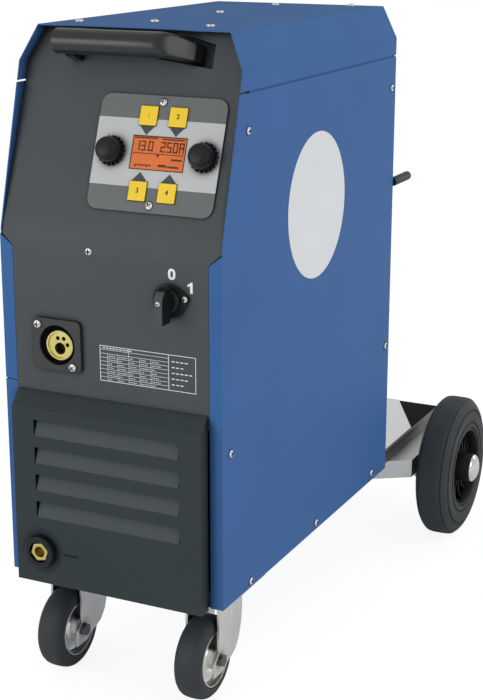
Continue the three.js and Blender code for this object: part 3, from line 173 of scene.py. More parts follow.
def vary_colour(tree, factor, colour, spread, crease=0.0):
    """The colour, lighter and darker by spread where the factor is high and low. Within
    crease mm of another surface it darkens as painted shade, in corners, gaps and recesses."""
    ramp = add_node(tree, "ShaderNodeValToRGB")
    tree.links.new(factor, ramp.inputs["Fac"])
    for stop, place, level in zip(ramp.color_ramp.elements, (0.3, 0.7), (1 - spread, 1 + spread)):
        stop.position = place
        stop.color = tuple(min(1, c * level) for c in linear(colour)[:3]) + (1,)
    tint = ramp.outputs["Color"]
    # Painted shade: the colour is multiplied by the ambient occlusion, raised to the power 1.6.
    if crease:
        corner = add_node(tree, "ShaderNodeAmbientOcclusion", {"Distance": crease * mm}, samples=6)
        deepen = add_node(tree, "ShaderNodeMath", {1: 1.6}, operation="POWER")
        darker = add_node(tree, "ShaderNodeMix", {"Factor": 1.0}, data_type="RGBA", blend_type="MULTIPLY")
        tree.links.new(corner.outputs["AO"], deepen.inputs[0])
        tree.links.new(tint, darker.inputs["A"])
        tree.links.new(deepen.outputs[0], darker.inputs["B"])
        tint = darker.outputs["Result"]
    tree.links.new(tint, tree.nodes["Principled BSDF"].inputs["Base Color"])


def add_bump(tree, height, depth, strength):
    bump = add_node(tree, "ShaderNodeBump", {"Strength": strength, "Distance": depth})
    tree.links.new(height, bump.inputs["Height"])
    tree.links.new(bump.outputs["Normal"], tree.nodes["Principled BSDF"].inputs["Normal"])


def vary_roughness(tree, factor, low, high):
    spread = add_node(tree, "ShaderNodeMapRange", {"To Min": low, "To Max": high})
    tree.links.new(factor, spread.inputs["Value"])
    tree.links.new(spread.outputs["Result"], tree.nodes["Principled BSDF"].inputs["Roughness"])


def powder_coat(name, colour, gloss=0.42, shine=0.06):
    """Powder coat: orange peel a millimetre or two across, faint cloudiness, and painted shade within 12 mm of
    other surfaces.
    """
    material, tree = new_material(name, gloss, 0.0, shine)
    vary_colour(tree, noise(tree, 7), colour, 0.03, 12)
    peel = noise(tree, 700, detail=2)
    vary_roughness(tree, peel, gloss - 0.05, gloss + 0.07)
    add_bump(tree, peel, 0.06 * mm, 0.35)
    return material


crisp_angle = math.radians(28)


def welded_and_smooth():
    """Joins a solid's split corners and shades it smooth, apart from its real edges."""
    group = bpy.data.node_groups.new("welded and smooth", "GeometryNodeTree")
    for way in ("INPUT", "OUTPUT"):
        group.interface.new_socket("Geometry", in_out=way, socket_type="NodeSocketGeometry")
    angle = add_node(group, "GeometryNodeInputMeshEdgeAngle")
    is_edge = add_node(group, "FunctionNodeCompare", {1: crisp_angle}, operation="GREATER_THAN")
    crisp = add_node(group, "GeometryNodeSetShadeSmooth", {"Shade Smooth": False}, domain="EDGE")
    steps = [add_node(group, "NodeGroupInput"),
             add_node(group, "GeometryNodeMergeByDistance", {"Distance": 0.01 * mm}),
             add_node(group, "GeometryNodeRemoveAttribute", {"Name": "custom_normal"}),
             add_node(group, "GeometryNodeSetShadeSmooth"), crisp, add_node(group, "NodeGroupOutput")]
    for one, two in zip(steps, steps[1:]):
        group.links.new(one.outputs[0], two.inputs[0])
    group.links.new(angle.outputs["Unsigned Angle"], is_edge.inputs[0])
    group.links.new(is_edge.outputs[0], crisp.inputs["Selection"])
    return group


smoothing = welded_and_smooth()


def round_edges(part, edge):
    """Rounds the sharp edges of a piece by edge, in mm."""
    bevel = part.modifiers.new("edges", "BEVEL")
    bevel.width = edge * mm
    bevel.segments = 2
    bevel.limit_method = "ANGLE"
    bevel.angle_limit = crisp_angle
    bevel.use_clamp_overlap = True
    bevel.harden_normals = True


def dress(node, material, edge=0.5):
    """Gives a CAD node its material and rounds its sharp edges by edge, in mm."""
    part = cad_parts[node]
    part.data.materials.clear()
    part.data.materials.append(material)
    part.modifiers.new("smooth", "NODES").node_group = smoothing
    if edge:
        round_edges(part, edge)


blue = powder_coat("blue_powder_coat", (64, 105, 161))
for sheet in ("side_panel_right", "side_panel_left", "side_door", "rear_panel"):
    dress(sheet, blue, 0.6)
dress("chassis_base", blue, 0.5)
# The top cover gets a copy of the same blue paint, a little paler and with far less shine, set for how the
# light falls on the roof: painted light.
dress("top_cover", powder_coat("roof_blue_painted_light", (72, 110, 163), 0.6, 0.022), 0.6)


# The seam between the top cover and the right side panel: a folded lip of the same blue
# sheet lies behind it, so that no light comes through. It and all later pieces are drawn
# in mm on a plane: x to the right, y up and z out of the face, seen from in front of it.
def face_plane(origin, right, up=(0, 0, 1)):
    x_axis, y_axis = Vector(right).normalized(), Vector(up).normalized()
    turn = Matrix((x_axis, y_axis, x_axis.cross(y_axis))).transposed().to_4x4()
    return Matrix.Translation(origin) @ turn @ Matrix.Scale(mm, 4)


def at(x, y, z):
    """A point of the cabinet: x from its middle, y behind its front, z above its underside."""
    return Vector((x * mm, front_y + y * mm, base_z + z * mm))


side_width, cabinet_depth, cabinet_height = 140, 511, 636
bulge_height, face_set_back = 408, 83.6
face_tilt = math.atan2(face_set_back, cabinet_height - bulge_height)
right_side = face_plane(at(side_width, 0, 0), (0, 1, 0))


def make(name, shape, plane, material, body, replaces=(), edge=0.0, crease=32):
    """Turns a shape drawn in mm on a plane into a piece that rides on a body."""
    bmesh.ops.recalc_face_normals(shape, faces=shape.faces)
    shape.transform(plane)
    mesh = bpy.data.meshes.new(name)
    shape.to_mesh(mesh)
    shape.free()
    mesh.shade_smooth()
    mesh.set_sharp_from_angle(angle=math.radians(crease))
    mesh.materials.append(material)
    part = bpy.data.objects.new(name, mesh)
    scene.collection.objects.link(part)
    if edge:
        round_edges(part, edge)
    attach(part, body)
    if replaces:
        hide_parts(*replaces)


def loft(shape, rings):
    """Skins a row of rings with the same number of points, and closes both ends."""
    rows = [[shape.verts.new(point) for point in ring] for ring in rings]
    for one, two in zip(rows, rows[1:]):
        for i in range(len(one)):
            j = (i + 1) % len(one)
            shape.faces.new((one[i], one[j], two[j], two[i]))
    shape.faces.new(rows[0])
    shape.faces.new(rows[-1])
    return shape


def slab(shape, outline, low, high):
    """A flat plate with this outline, from low to high."""
    return loft(shape, [[(x, y, height) for x, y in outline] for height in (low, high)])


def rectangle(x0, y0, x1, y1):
    return [(x0, y0), (x1, y0), (x1, y1), (x0, y1)]


seam_low = (side_high.z - base_z) / mm
seam_high = (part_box("top_cover")[0].z - base_z) / mm
seam_front = (seam_high - bulge_height) * math.tan(face_tilt) + 6
seam_back = cabinet_depth - 4
seam_outline = rectangle(seam_front, seam_low - 1, seam_back, seam_high + 1)
make("seam_lip", slab(bmesh.new(), seam_outline, -1.4, -0.7), right_side, blue, "cabinet")


# Screws: bright zinc pan heads with a cross recess, 8.5 mm across, in the side, the
# top and the back of the cabinet. The first is carved and the others are copies of it.
def metal(name, colour, roughness, grain=260, stretch=(1, 1, 1), depth=0.02, crease=0.0):
    """Bare metal with fine, slightly uneven polish. stretch draws the grain out, and crease paints shade within
    that many mm of other surfaces.
    """
    material, tree = new_material(name, roughness, 1.0)
    fine = noise(tree, grain, stretch)
    vary_colour(tree, noise(tree, 24), colour, 0.08, crease)
    vary_roughness(tree, fine, roughness * 0.75, roughness * 1.3)
    add_bump(tree, fine, depth * mm, 0.3)
    return material


def oval(x, y, width, height, steps=96):
    angles = [2 * math.pi * i / steps for i in range(steps)]
    return [(x + width / 2 * math.cos(angle), y + height / 2 * math.sin(angle)) for angle in angles]


def lathe(shape, profile, centre=(0, 0), steps=64):
    """Turns (radius, height) points about z. Radius 0 makes a tip, else the ends are joined."""
    rings = []
    for radius, height in profile:
        ring = oval(*centre, 2 * radius, 2 * radius, steps) if radius else [centre]
        rings.append([shape.verts.new((*point, height)) for point in ring])
    pairs = list(zip(rings, rings[1:]))
    if len(rings[0]) > 1 and len(rings[-1]) > 1:
        pairs.append((rings[-1], rings[0]))
    for one, two in pairs:
        for i in range(steps):
            j = (i + 1) % steps
            corners = [one[i % len(one)], one[j % len(one)], two[j % len(two)], two[i % len(two)]]
            shape.faces.new(list(dict.fromkeys(corners)))
    return shape


def finished(thing):
    """A new shape of what an object looks like after its modifiers."""
    bpy.context.view_layer.update()
    shape = bmesh.new()
    shape.from_mesh(thing.evaluated_get(bpy.context.evaluated_depsgraph_get()).to_mesh())
    return shape


def carved(base, *cutters):
    """The base shape with the cutters taken out of it."""
    objects = []
    for shape in (base, *cutters):
        bmesh.ops.recalc_face_normals(shape, faces=shape.faces)
        mesh = bpy.data.meshes.new("carving")
        shape.to_mesh(mesh)
        shape.free()
        objects.append(bpy.data.objects.new("carving", mesh))
        scene.collection.objects.link(objects[-1])
    for cutter in objects[1:]:
        take = objects[0].modifiers.new("take", "BOOLEAN")
        take.object = cutter
        take.solver = "EXACT"
    result = finished(objects[0])
    for thing in objects:
        bpy.data.objects.remove(thing)
    return result


# The screws' zinc has painted shade within 3 mm of other surfaces, so their cross recesses come out dark.
bright_zinc = metal("bright_zinc", (240, 241, 240), 0.3, crease=3)


def screw_mesh(radius, height):
    head = [(0, height)]
    for degrees in range(18, 90, 12):
        angle = math.radians(degrees)
        head.append((radius * math.sin(angle), height * (0.35 + 0.65 * math.cos(angle))))
    head += [(radius, height * 0.35), (radius, -0.4), (0, -0.4)]
    dome = lathe(bmesh.new(), head, steps=24)
    arm, reach = radius * 0.2, radius * 0.68
    cross = bmesh.new()
    slab(cross, [(arm, arm), (arm, reach), (-arm, reach), (-arm, arm), (-reach, arm), (-reach, -arm),
                 (-arm, -arm), (-arm, -reach), (arm, -reach), (arm, -arm), (reach, -arm), (reach, arm)],
         height * 0.1, height + 1)
    mesh = bpy.data.meshes.new("screw")
    carved(dome, cross).to_mesh(mesh)
    return mesh


pan_head = screw_mesh(4.3, 2.6)
turn_per_screw = math.radians(37)


def screws(name, plane, places, body, size=1.0):
    """One piece with a screw head at each place, each turned a little further."""
    shape = bmesh.new()
    for number, (x, y, *height) in enumerate(places):
        before = len(shape.verts)
        shape.from_mesh(pan_head)
        shape.verts.ensure_lookup_table()
        place = Matrix.Translation((x, y, height[0] if height else 0))
        turn = Matrix.Rotation(turn_per_screw * number, 4, "Z")
        bmesh.ops.transform(shape, verts=shape.verts[before:], matrix=place @ turn @ Matrix.Scale(size, 4))
    make(name, shape, plane, bright_zinc, body)


back_inset = 1.8
left_side = face_plane(at(-side_width, 0, 0), (0, -1, 0))
top_face = face_plane(at(0, 0, cabinet_height), (1, 0, 0), (0, 1, 0))
back_face = face_plane(at(0, cabinet_depth - back_inset, 0), (-1, 0, 0))
rear_row = cabinet_depth - 14
side_screws = [(63.4, 532.4), (19.2, 181.7), (455, 11.5), (263, 9.4), (71.6, 7.7), (rear_row, 532.8),
               (rear_row, 182.4)]
top_screws = [(-95.7, 111), (71.5, 111), (-17, 145), (-16.7, 310), (-15.2, 469.5), (80.3, rear_row + 1)]
screws("side_screws_right", right_side, side_screws, "cabinet")
screws("side_screws_left", left_side, [(-y, z) for y, z in side_screws if z < 200], "cabinet")
screws("top_screws", top_face, [(x, y, -0.1) for x, y in top_screws], "cabinet", size=1.15)
screws("back_screws", back_face, [(x, z) for x in (-122, 122) for z in (14, 200, 400, 560)], "cabinet")


# The badge on the right side: a plain oval cut from thin off-white vinyl, stuck on flat
# in the middle of the panel.
def plastic(name, colour, roughness, grain=900, depth=0.05, spread=0.04, crease=8, shine=0.25):
    """Moulded plastic with a fine eroded grain, and painted shade within crease mm of other surfaces."""
    material, tree = new_material(name, roughness, 0.0, shine)
    fine = noise(tree, grain, detail=2)
    vary_colour(tree, noise(tree, 12), colour, spread, crease)
    vary_roughness(tree, fine, roughness - 0.06, roughness + 0.08)
    add_bump(tree, fine, depth * mm, 0.4)
    return material


white_vinyl = plastic("white_vinyl", (226, 229, 232), 0.35, 300, 0.02, 0.02)
badge_shape = slab(bmesh.new(), oval(254, 419.5, 170, 176), -0.2, 0.3)
make("side_badge", badge_shape, right_side, white_vinyl, "cabinet", edge=0.15)


# The front: an upper panel moulded in dark plastic, which leans back above its bend,
# and below it a hooded steel panel with four pressed louvres.
panel_plastic = plastic("panel_plastic", (73, 78, 81), 0.5, 800, 0.04, 0.03)
dark_coat = powder_coat("dark_powder_coat", (58, 66, 68), 0.45)
dress("front_panel_upper", panel_plastic, 0.7)
dress("front_panel_lower", dark_coat, 0.6)


def painted_light_on_slopes(material, colour, share):
    """Painted light: the faces that lean back a little, those of the pressed louvres, are given a paler colour
    by the way they face.
    """
    tree = material.node_tree
    facing = add_node(tree, "ShaderNodeSeparateXYZ")
    tree.links.new(add_node(tree, "ShaderNodeNewGeometry").outputs["Normal"], facing.inputs[0])
    slope = add_node(tree, "ShaderNodeValToRGB")
    slope.color_ramp.elements[0].position = 0.05
    slope.color_ramp.elements[1].position = 0.12
    for place, value in ((0.42, 1), (0.5, 0)):
        slope.color_ramp.elements.new(place).color = (value, value, value, 1)
    tree.links.new(facing.outputs["Z"], slope.inputs[0])
    amount = add_node(tree, "ShaderNodeMath", {1: share}, operation="MULTIPLY")
    tree.links.new(slope.outputs[0], amount.inputs[0])
    mix = add_node(tree, "ShaderNodeMix", data_type="RGBA")
    base = tree.nodes["Principled BSDF"].inputs["Base Color"]
    tree.links.new(amount.outputs[0], mix.inputs["Factor"])
    tree.links.new(base.links[0].from_socket, mix.inputs["A"])
    mix.inputs["B"].default_value = linear(colour)
    tree.links.new(mix.outputs["Result"], base)


# Painted light: the louvres' upturned faces are mixed towards a paler grey.
painted_light_on_slopes(dark_coat, (86, 91, 94), 0.7)
front = face_plane(at(0, 0, 0), (1, 0, 0))
screws("panel_screw", front, [(-24.2, 397.7, -1)], "cabinet")


# Plain ruled table printed in white on the upper panel, with short dashes in its rows.
# A minus sign is printed in black on the lower panel beside the earth socket.
white_print = plastic("white_print", (240, 242, 244), 0.5, 500, 0.01, 0.03)
print_height = 0.12


def rule(shape, x, y, width, height, low=-0.3, high=print_height):
    slab(shape, rectangle(x, y, x + width, y + height), low, high)


def ruled_table():
    shape = bmesh.new()
    left, right, low, high, split = -12.8, 108, 251.6, 292.8, 74
    line = 0.7
    thin = line * 0.6
    for x in (left, split, right - line):
        rule(shape, x, low, line, high - low)
    for z in (low, high - line):
        rule(shape, left + line, z, split - left - line, line)
        rule(shape, split + line, z, right - split - 2 * line, line)
    rows = [low + (high - low) * (0.115 + 0.11 * row) for row in range(8)]
    for z in rows:
        rule(shape, left + line, z, split - left - line, thin)
    columns = [-3, 10, 24, 38, 52]
    for number, x in enumerate(columns):
        top = rows[6] if number != 2 else high - line
        for z, above in zip([low + line] + [z + thin for z in rows], rows + [high - line]):
            if above <= top + 0.01:
                rule(shape, x, z, thin, above - z)
    for row, z in enumerate(rows[:7]):
        for column, x in enumerate(columns):
            for dash in range(2 + (row * 3 + column * 5) % 4):
                rule(shape, x + 1.6 + dash * 2.3, z - 2.7, 1.5, 0.85)
    for dash in range(9):
        rule(shape, left + 4 + dash * 4.2, rows[7] + 1.6, 3, 1.1)
    for row in range(5):
        for dash in range(3 + row % 3):
            rule(shape, split + 4 + dash * 5.4, low + 6.5 + row * 6.6, 3.8, 1.1)
    return shape


make("rating_table", ruled_table(), front, white_print, "cabinet")
black_print = plastic("black_print", (12, 14, 15), 0.6, 500, 0.01, 0.03)
lower_panel_out = 18
proud_plane = face_plane(at(0, -lower_panel_out, 0), (1, 0, 0))
minus = bmesh.new()
rule(minus, -57.6, 36.8, 19.4, 2.4)
make("earth_mark", minus, proud_plane, black_print, "cabinet")


# The carry handle: a glossy black grip, round, with a flat left end. On the right it
# turns back as a tapering arm into the panel's pocket, and a foot holds it on the left.
gloss_black = plastic("gloss_black", (33, 36, 38), 0.28, 60, 0.03, 0.05, shine=0.5)
leaning = face_plane(at(0, 0, bulge_height), (1, 0, 0), (0, math.sin(face_tilt), math.cos(face_tilt)))
handle_s, grip_out, pocket_floor = 215, 30, -14.7


def rounded_section(half_high, half_deep, power):
    """A section of the handle: round at power 2, nearly square above 5."""
    points, steps = [], 40
    for i in range(steps):
        angle = 2 * math.pi * i / steps
        c, s = math.cos(angle), math.sin(angle)
        points.append((half_deep * math.copysign(abs(c) ** (2 / power), c),
                       half_high * math.copysign(abs(s) ** (2 / power), s)))
    return points


def handle_shape():
    # x and height of each section's middle over the face, its half height and half
    # depth, how square it is, and how far the path has turned towards the pocket.
    sections = [
        (-84.4, 30, 13.6, 13.6, 2, 0), (-84, 30, 14, 14, 2, 0), (-40, 30, 14, 14, 2, 0), (10, 30, 14, 14, 2, 0),
        (42, 30, 14, 14, 2, 0), (45, 30.4, 13.6, 12.6, 2.4, 14), (47, 30.6, 13.2, 10.6, 4, 34),
        (52.8, 28.7, 12.8, 6.5, 7, 53), (60.8, 17.9, 11.8, 6.5, 9, 53), (70.9, 4.3, 10.4, 6.5, 12, 53),
        (71.6, 0, 10.2, 5.4, 12, 90), (71.6, pocket_floor, 10, 5.4, 12, 90),
    ]
    rings = []
    for x, out, half_high, half_deep, power, turn in sections:
        c, s = math.cos(math.radians(turn)), math.sin(math.radians(turn))
        rings.append([(x + a * s, handle_s + b, out + a * c)
                      for a, b in rounded_section(half_high, half_deep, power)])
    shape = loft(bmesh.new(), rings)
    # The foot on the left, which goes down into the pocket, and the toe beside it.
    slab(shape, rectangle(-79, handle_s - 6, -64, handle_s + 6), pocket_floor, grip_out)
    slab(shape, rectangle(-78, handle_s - 14, -67, handle_s + 4), 0.3, 20)
    return shape


make("handle", handle_shape(), leaning, gloss_black, "cabinet", ["carry_handle"], 0.5, 30)


# The control plate: grey sheet with round corners, a pale band printed across it, and
# dark arrows that point from the keys to the display.
plate_grey = plastic("plate_grey", (110, 113, 113), 0.5, 500, 0.02, 0.03)
band_grey = plastic("band_grey", (198, 200, 201), 0.45, 400, 0.01, 0.02)
arrow_grey = plastic("arrow_grey", (74, 77, 80), 0.45, 400, 0.01, 0.02)
dress("control_plate", plate_grey, 0.5)
plate_front, under_print = 2.0, 1.8
control_s, display_x, display_s = 102.5, 46.6, 103.5
key_half, key_aside, key_above = 11.2, 18.1, 41.5
key_corners = [(side, row) for side in (-1, 1) for row in (-1, 1)]


def printed_band():
    """Covers the plate's middle, but leaves the display and the keys free."""
    band = slab(bmesh.new(), rectangle(-32.9, 65.5, 121.9, 140.5), under_print, plate_front + print_height)
    openings = [(display_x, display_s, 33.3, 18.8)]
    for side, row in key_corners:
        openings.append((display_x + side * key_aside, control_s + row * key_above, key_half, key_half))
    return carved(band, *[slab(bmesh.new(), rectangle(x - wide, s - high, x + wide, s + high), -5, 10)
                          for x, s, wide, high in openings])


make("control_band", printed_band(), leaning, band_grey, "cabinet")
# A thin black frame inside the display's opening, on all four sides: painted shadow round the set-back window.
painted_shadow_black = plastic("painted_shadow_black", (30, 28, 26), 0.5, 500, 0.01, 0.03)
painted_shadow_frame = bmesh.new()
for x0, s0, x1, s1 in ((-33, -18.5, -32, 18.5), (32.4, -18.5, 33, 18.5), (-32, 17.5, 32.4, 18.5),
                       (-32, -18.5, 32.4, -17.9)):
    slab(painted_shadow_frame, rectangle(display_x + x0, display_s + s0, display_x + x1, display_s + s1), 2.2, 2.5)
make("display_painted_shadow", painted_shadow_frame, leaning, painted_shadow_black, "cabinet")
arrows = bmesh.new()
arrow_half, arrow_length, arrow_from_key = 9.2, 9.6, 11.4
for side, row in key_corners:
    tip_x, tail = display_x + side * key_aside, control_s + row * (key_above - arrow_from_key)
    slab(arrows, [(tip_x - arrow_half, tail), (tip_x + arrow_half, tail), (tip_x, tail - row * arrow_length)],
         under_print, plate_front + 2 * print_height)
make("control_arrows", arrows, leaning, arrow_grey, "cabinet")
screws("plate_screws", leaning, [(43.8, 159.8, plate_front), (45.4, 46.2, plate_front)], "cabinet")


# The display: an amber window set back in the plate, lit from behind, with plain dark
# figures, rules and bars. The figures are cut in thin strips on its face.
amber, amber_tree = new_material("amber_window", 0.25, 0.0)
vary_colour(amber_tree, noise(amber_tree, 30), (228, 112, 26), 0.05)
vary_roughness(amber_tree, noise(amber_tree, 500), 0.2, 0.32)
dress("display_window", amber, 0)
ink = plastic("display_ink", (92, 46, 30), 0.4, 400, 0.01, 0.03)
ink_low, ink_high = 2.0, 2.5
strokes = {"0": "abcdef", "1": "bc", "2": "abged", "3": "abgcd", "5": "afgcd", "A": "abcefg"}


def figure(shape, sign, x, s, width, height, thick):
    """One figure made of the seven strokes of a plain display."""
    half, right = height / 2, x + width - thick
    places = {
        "a": (x, s + height - thick, width, thick), "g": (x, s + half - thick / 2, width, thick),
        "d": (x, s, width, thick), "f": (x, s + half, thick, half), "b": (right, s + half, thick, half),
        "e": (x, s, thick, half), "c": (right, s, thick, half),
    }
    for stroke in strokes[sign]:
        rule(shape, *places[stroke], ink_low, ink_high)


def display_figures():
    shape = bmesh.new()
    for sign, x in zip("130", (-29.5, -22.5, -13)):
        figure(shape, sign, display_x + x, display_s + 2, 6, 11, 1.5)
    for sign, x in zip("250A", (2, 9.6, 17.2, 24.8)):
        figure(shape, sign, display_x + x, display_s + 1.5, 6, 11.6, 1.6)
    bars = [(-14.6, 2.4, 1.3, 1.3), (-31, 15.4, 28, 1.6), (3, 15, 27, 1.6), (-31, -1.2, 62, 0.9),
            (-1.5, -3.6, 3, 2.4), (17, -7, 13, 2), (-10, -14.6, 3, 1.8), (2, -14.6, 10, 2.8), (13, -15, 14, 2),
            (-24, -14.5, 3, 1.8), (-17, -14.5, 3, 1.8)] + [(x, -15.5, 2, 2.6) for x in (-27, -20, -13)]
    for x, s, width, height in bars:
        rule(shape, display_x + x, display_s + s, width, height, ink_low, ink_high)
    return shape


make("display_figures", display_figures(), leaning, ink, "cabinet")


# Four square push keys moulded in yellow plastic, two above and two below the display,
# with plain numbers printed on their faces.
key_yellow = plastic("key_yellow", (252, 214, 56), 0.4, 700, 0.03, 0.03)
dark_print = plastic("dark_print", (74, 66, 40), 0.5, 500, 0.01, 0.03)


def lettering(sign, size, weight):
    """A plain figure as a flat mesh around its own middle, size mm high. The 1 has a flag."""
    if sign == "1":
        one = [(0, -0.5), (0.16, -0.5), (0.16, 0.5), (0.02, 0.5), (-0.22, 0.28), (-0.22, 0.12), (0, 0.24)]
        return slab(bmesh.new(), [(x * size, y * size) for x, y in one], -0.1, 0.1)
    curve = bpy.data.curves.new("figure", "FONT")
    curve.body = sign
    curve.size = size / 0.69
    curve.offset = weight
    curve.extrude = 0.2
    curve.align_x = "CENTER"
    curve.align_y = "CENTER"
    holder = bpy.data.objects.new("figure", curve)
    scene.collection.objects.link(holder)
    shape = finished(holder)
    bpy.data.objects.remove(holder)
    bmesh.ops.remove_doubles(shape, verts=shape.verts, dist=0.001)
    return shape


key_places = {"key_upper_left": (-1, 1, "1", "key_ul"), "key_upper_right": (1, 1, "2", "key_ur"),
              "key_lower_left": (-1, -1, "3", "key_ll"), "key_lower_right": (1, -1, "4", "key_lr")}
key_front = 3.4
for key_node, (side, row, sign, key_body) in key_places.items():
    dress(key_node, key_yellow, 0.8)
    number = lettering(sign, 5.4, 0.12)
    place = (display_x + side * key_aside, control_s + row * key_above + 0.5, key_front - 0.1)
    bmesh.ops.translate(number, verts=number.verts, vec=place)
    make(f"{key_node}_number", number, leaning, dark_print, key_body)


# Encoder knobs: moulded in black plastic, with a smooth round cap in front of a skirt
# with 18 teeth, pushed on the shaft of an encoder.
soft_black = plastic("soft_black", (26, 30, 33), 0.38, 500, 0.03, 0.05)
knob_aside = 56.8


def toothed(shape, x, y, count, tooth, low, high):
    """A plate whose rim repeats one tooth's points: share of the tooth's width, radius."""
    outline = []
    for number in range(count):
        for share, radius in tooth:
            angle = 2 * math.pi * (number + share) / count
            outline.append((x + radius * math.cos(angle), y + radius * math.sin(angle)))
    return slab(shape, outline, low, high)


def knob_shape(x, s):
    base = 2.3
    tooth = [(0.04, 13.2), (0.14, 16.8), (0.42, 16.8), (0.52, 13.2), (0.8, 13.1)]
    shape = toothed(bmesh.new(), x, s, 18, tooth, base, base + 5.4)
    cap = [(0, 20), (6, 19.8), (9.6, 18.9), (12, 17.2), (13.2, 14.8), (13.6, 12), (13.7, 5.2), (13.7, 0.4),
           (0, 0.4)]
    lathe(shape, [(radius, base + height) for radius, height in cap], (x, s))
    return lathe(shape, [(0, base + 1), (2.9, base + 1), (2.9, -12.5), (0, -12.5)], (x, s), 24)


for side_name, side in (("left", -1), ("right", 1)):
    make(f"knob_{side_name}", knob_shape(display_x + side * knob_aside, control_s), leaning, soft_black,
         f"knob_{side_name}", [f"encoder_knob_{side_name}"], 0.35, 40)


# The main switch: a black base with a screwed ear, and a grey faced lever with an arched
# back on a screw of its own. 0 and 1 are printed in white above it.
switch_x, switch_z = 77, 354.4
ear_x, ear_z = switch_x + 19.4, switch_z + 3


def tight_outline(points):
    """The points of a flat set that a thread pulled tight round it would touch."""
    points = sorted(set(points))
    hull = []
    for way in (points, points[::-1]):
        side = []
        for p in way:
            while len(side) > 1 and ((side[-1][0] - side[-2][0]) * (p[1] - side[-2][1])
                                     - (side[-1][1] - side[-2][1]) * (p[0] - side[-2][0])) <= 0:
                side.pop()
            side.append(p)
        hull += side[:-1]
    return hull


base_front, block_front, block_back, stem_back = 2.6, -1.8, -42, -18
switch_centre = (switch_x, switch_z)
base_points = oval(switch_x, switch_z - 1.2, 40, 38, 64) + oval(ear_x, ear_z, 9.6, 9.6, 48)
switch_shape = slab(bmesh.new(), tight_outline(base_points), 0.2, base_front)
lathe(switch_shape, [(3.3, 0.2), (10.8, 0.2), (10.8, -4), (3.3, -4)], switch_centre, 40)
block_outline = rectangle(switch_x - 16, switch_z - 18, switch_x + 16, switch_z + 18)
slab(switch_shape, block_outline, block_back, block_front)
switch_black = plastic("switch_black", (24, 28, 30), 0.4, 500, 0.03, 0.05, crease=0)
make("switch_base", switch_shape, front, switch_black, "cabinet", ["switch_body"], 0.4)
screws("switch_screw", front, [(ear_x, ear_z, base_front)], "cabinet", size=0.8)


def switch_lever():
    hub = [(0, 8), (11.4, 8), (13.2, 7), (14, 5), (14.2, 2.7), (0, 2.7)]
    shape = lathe(bmesh.new(), hub, switch_centre, 56)
    lathe(shape, [(0, 3), (2.9, 3), (2.9, stem_back), (0, stem_back)], switch_centre, 20)
    # The lever from the side: up and down it, and out of the panel.
    side_view = [(-23, 9), (-23, 25.8), (-21.6, 27), (3, 27), (7.4, 25.9), (11.2, 23), (14, 19), (15.6, 14),
                 (16, 7.5), (-15, 7.5)]
    return loft(shape, [[(switch_x + half, switch_z + z, out) for z, out in side_view] for half in (-5.2, 5.2)])


lever_black = plastic("lever_black", (19, 23, 25), 0.36, 500, 0.03, 0.05, crease=0)
make("switch_lever", switch_lever(), front, lever_black, "switch", ["switch_knob"], 0.7, 30)
strip_section = ((-4.9, -0.3), (4.9, -0.3), (4.9, 0.3), (-4.9, 0.3))
strip_path = ((-22.4, 27), (-10, 27), (3, 27), (7.4, 25.9), (11.2, 23), (13.4, 20))
lever_strip = loft(bmesh.new(), [[(switch_x + aside, switch_z + z, out + rise) for aside, rise in strip_section]
                                 for z, out in strip_path])
make("lever_strip", lever_strip, front, panel_plastic, "switch", edge=0.2)
screws("lever_screw", front, [(switch_x, switch_z + 1.4, 27.2)], "switch", size=0.66)


def nought(x, z):
    """A bold 0 as a ring, 9 mm wide and 12.4 high."""
    outside, inside = (rounded_section(high, wide, 2.5) for wide, high in ((4.5, 6.2), (1.6, 3.5)))
    shape = slab(bmesh.new(), [(x + a, z + b) for a, b in outside], -0.3, print_height)
    return carved(shape, slab(bmesh.new(), [(x + a, z + b) for a, b in inside], -3, 3))


one_outline = [(-1.2, -6.2), (2, -6.2), (2, 6.2), (-0.2, 6.2), (-1.4, 4.8), (-4.2, 3.4), (-4.2, 0.8), (-1.2, 2)]
one_shape = slab(bmesh.new(), [(102.9 + x, 370.1 + z) for x, z in one_outline], -0.3, print_height)
make("switch_off_mark", nought(79.6, 382.9), front, white_print, "cabinet")
make("switch_on_mark", one_shape, front, white_print, "cabinet")


# The torch socket: a grey flange with two screws, a black recess, and a turned brass
# face with a raised lip, a wide guide bore and three pin sockets.
def rounded_rect(x, y, width, height, radius):
    outline, steps = [], 6
    for number, (sx, sy) in enumerate(((1, 1), (-1, 1), (-1, -1), (1, -1))):
        cx, cy = x + sx * (width / 2 - radius), y + sy * (height / 2 - radius)
        for i in range(steps + 1):
            angle = math.pi / 2 * (number + i / steps)
            outline.append((cx + radius * math.cos(angle), cy + radius * math.sin(angle)))
    return outline


socket_x, socket_z, flange_x = -63.5, 286.5, -66.5
socket_centre, guide_centre = (socket_x, socket_z), (socket_x, socket_z - 4)
pin_centres = [(socket_x + x, socket_z + z) for x, z in ((-2.7, 8), (5.1, 8), (9.8, 1.3))]
flange_front = 4
flange = slab(bmesh.new(), rounded_rect(flange_x, socket_z, 62, 60, 7), 0.3, flange_front)
recess = lathe(bmesh.new(), [(0, 6), (23.5, 6), (22.8, 0.9), (0, 0.9)], (flange_x, socket_z), 72)
shank_hole = lathe(bmesh.new(), [(0, 6), (17.8, 6), (17.8, -2), (0, -2)], socket_centre, 72)
socket_grey = plastic("socket_grey", (62, 64, 66), 0.45, 600, 0.04, 0.03)
make("torch_socket_flange", carved(flange, recess, shank_hole), front, socket_grey, "cabinet",
     ["euro_socket_flange"], 0.4)
deep_black = plastic("deep_black", (5, 5, 6), 0.7, 500, 0.03, 0.05, shine=0.05)
liner = slab(bmesh.new(), oval(flange_x, socket_z, 45.2, 45.2), 0.92, 1.2)
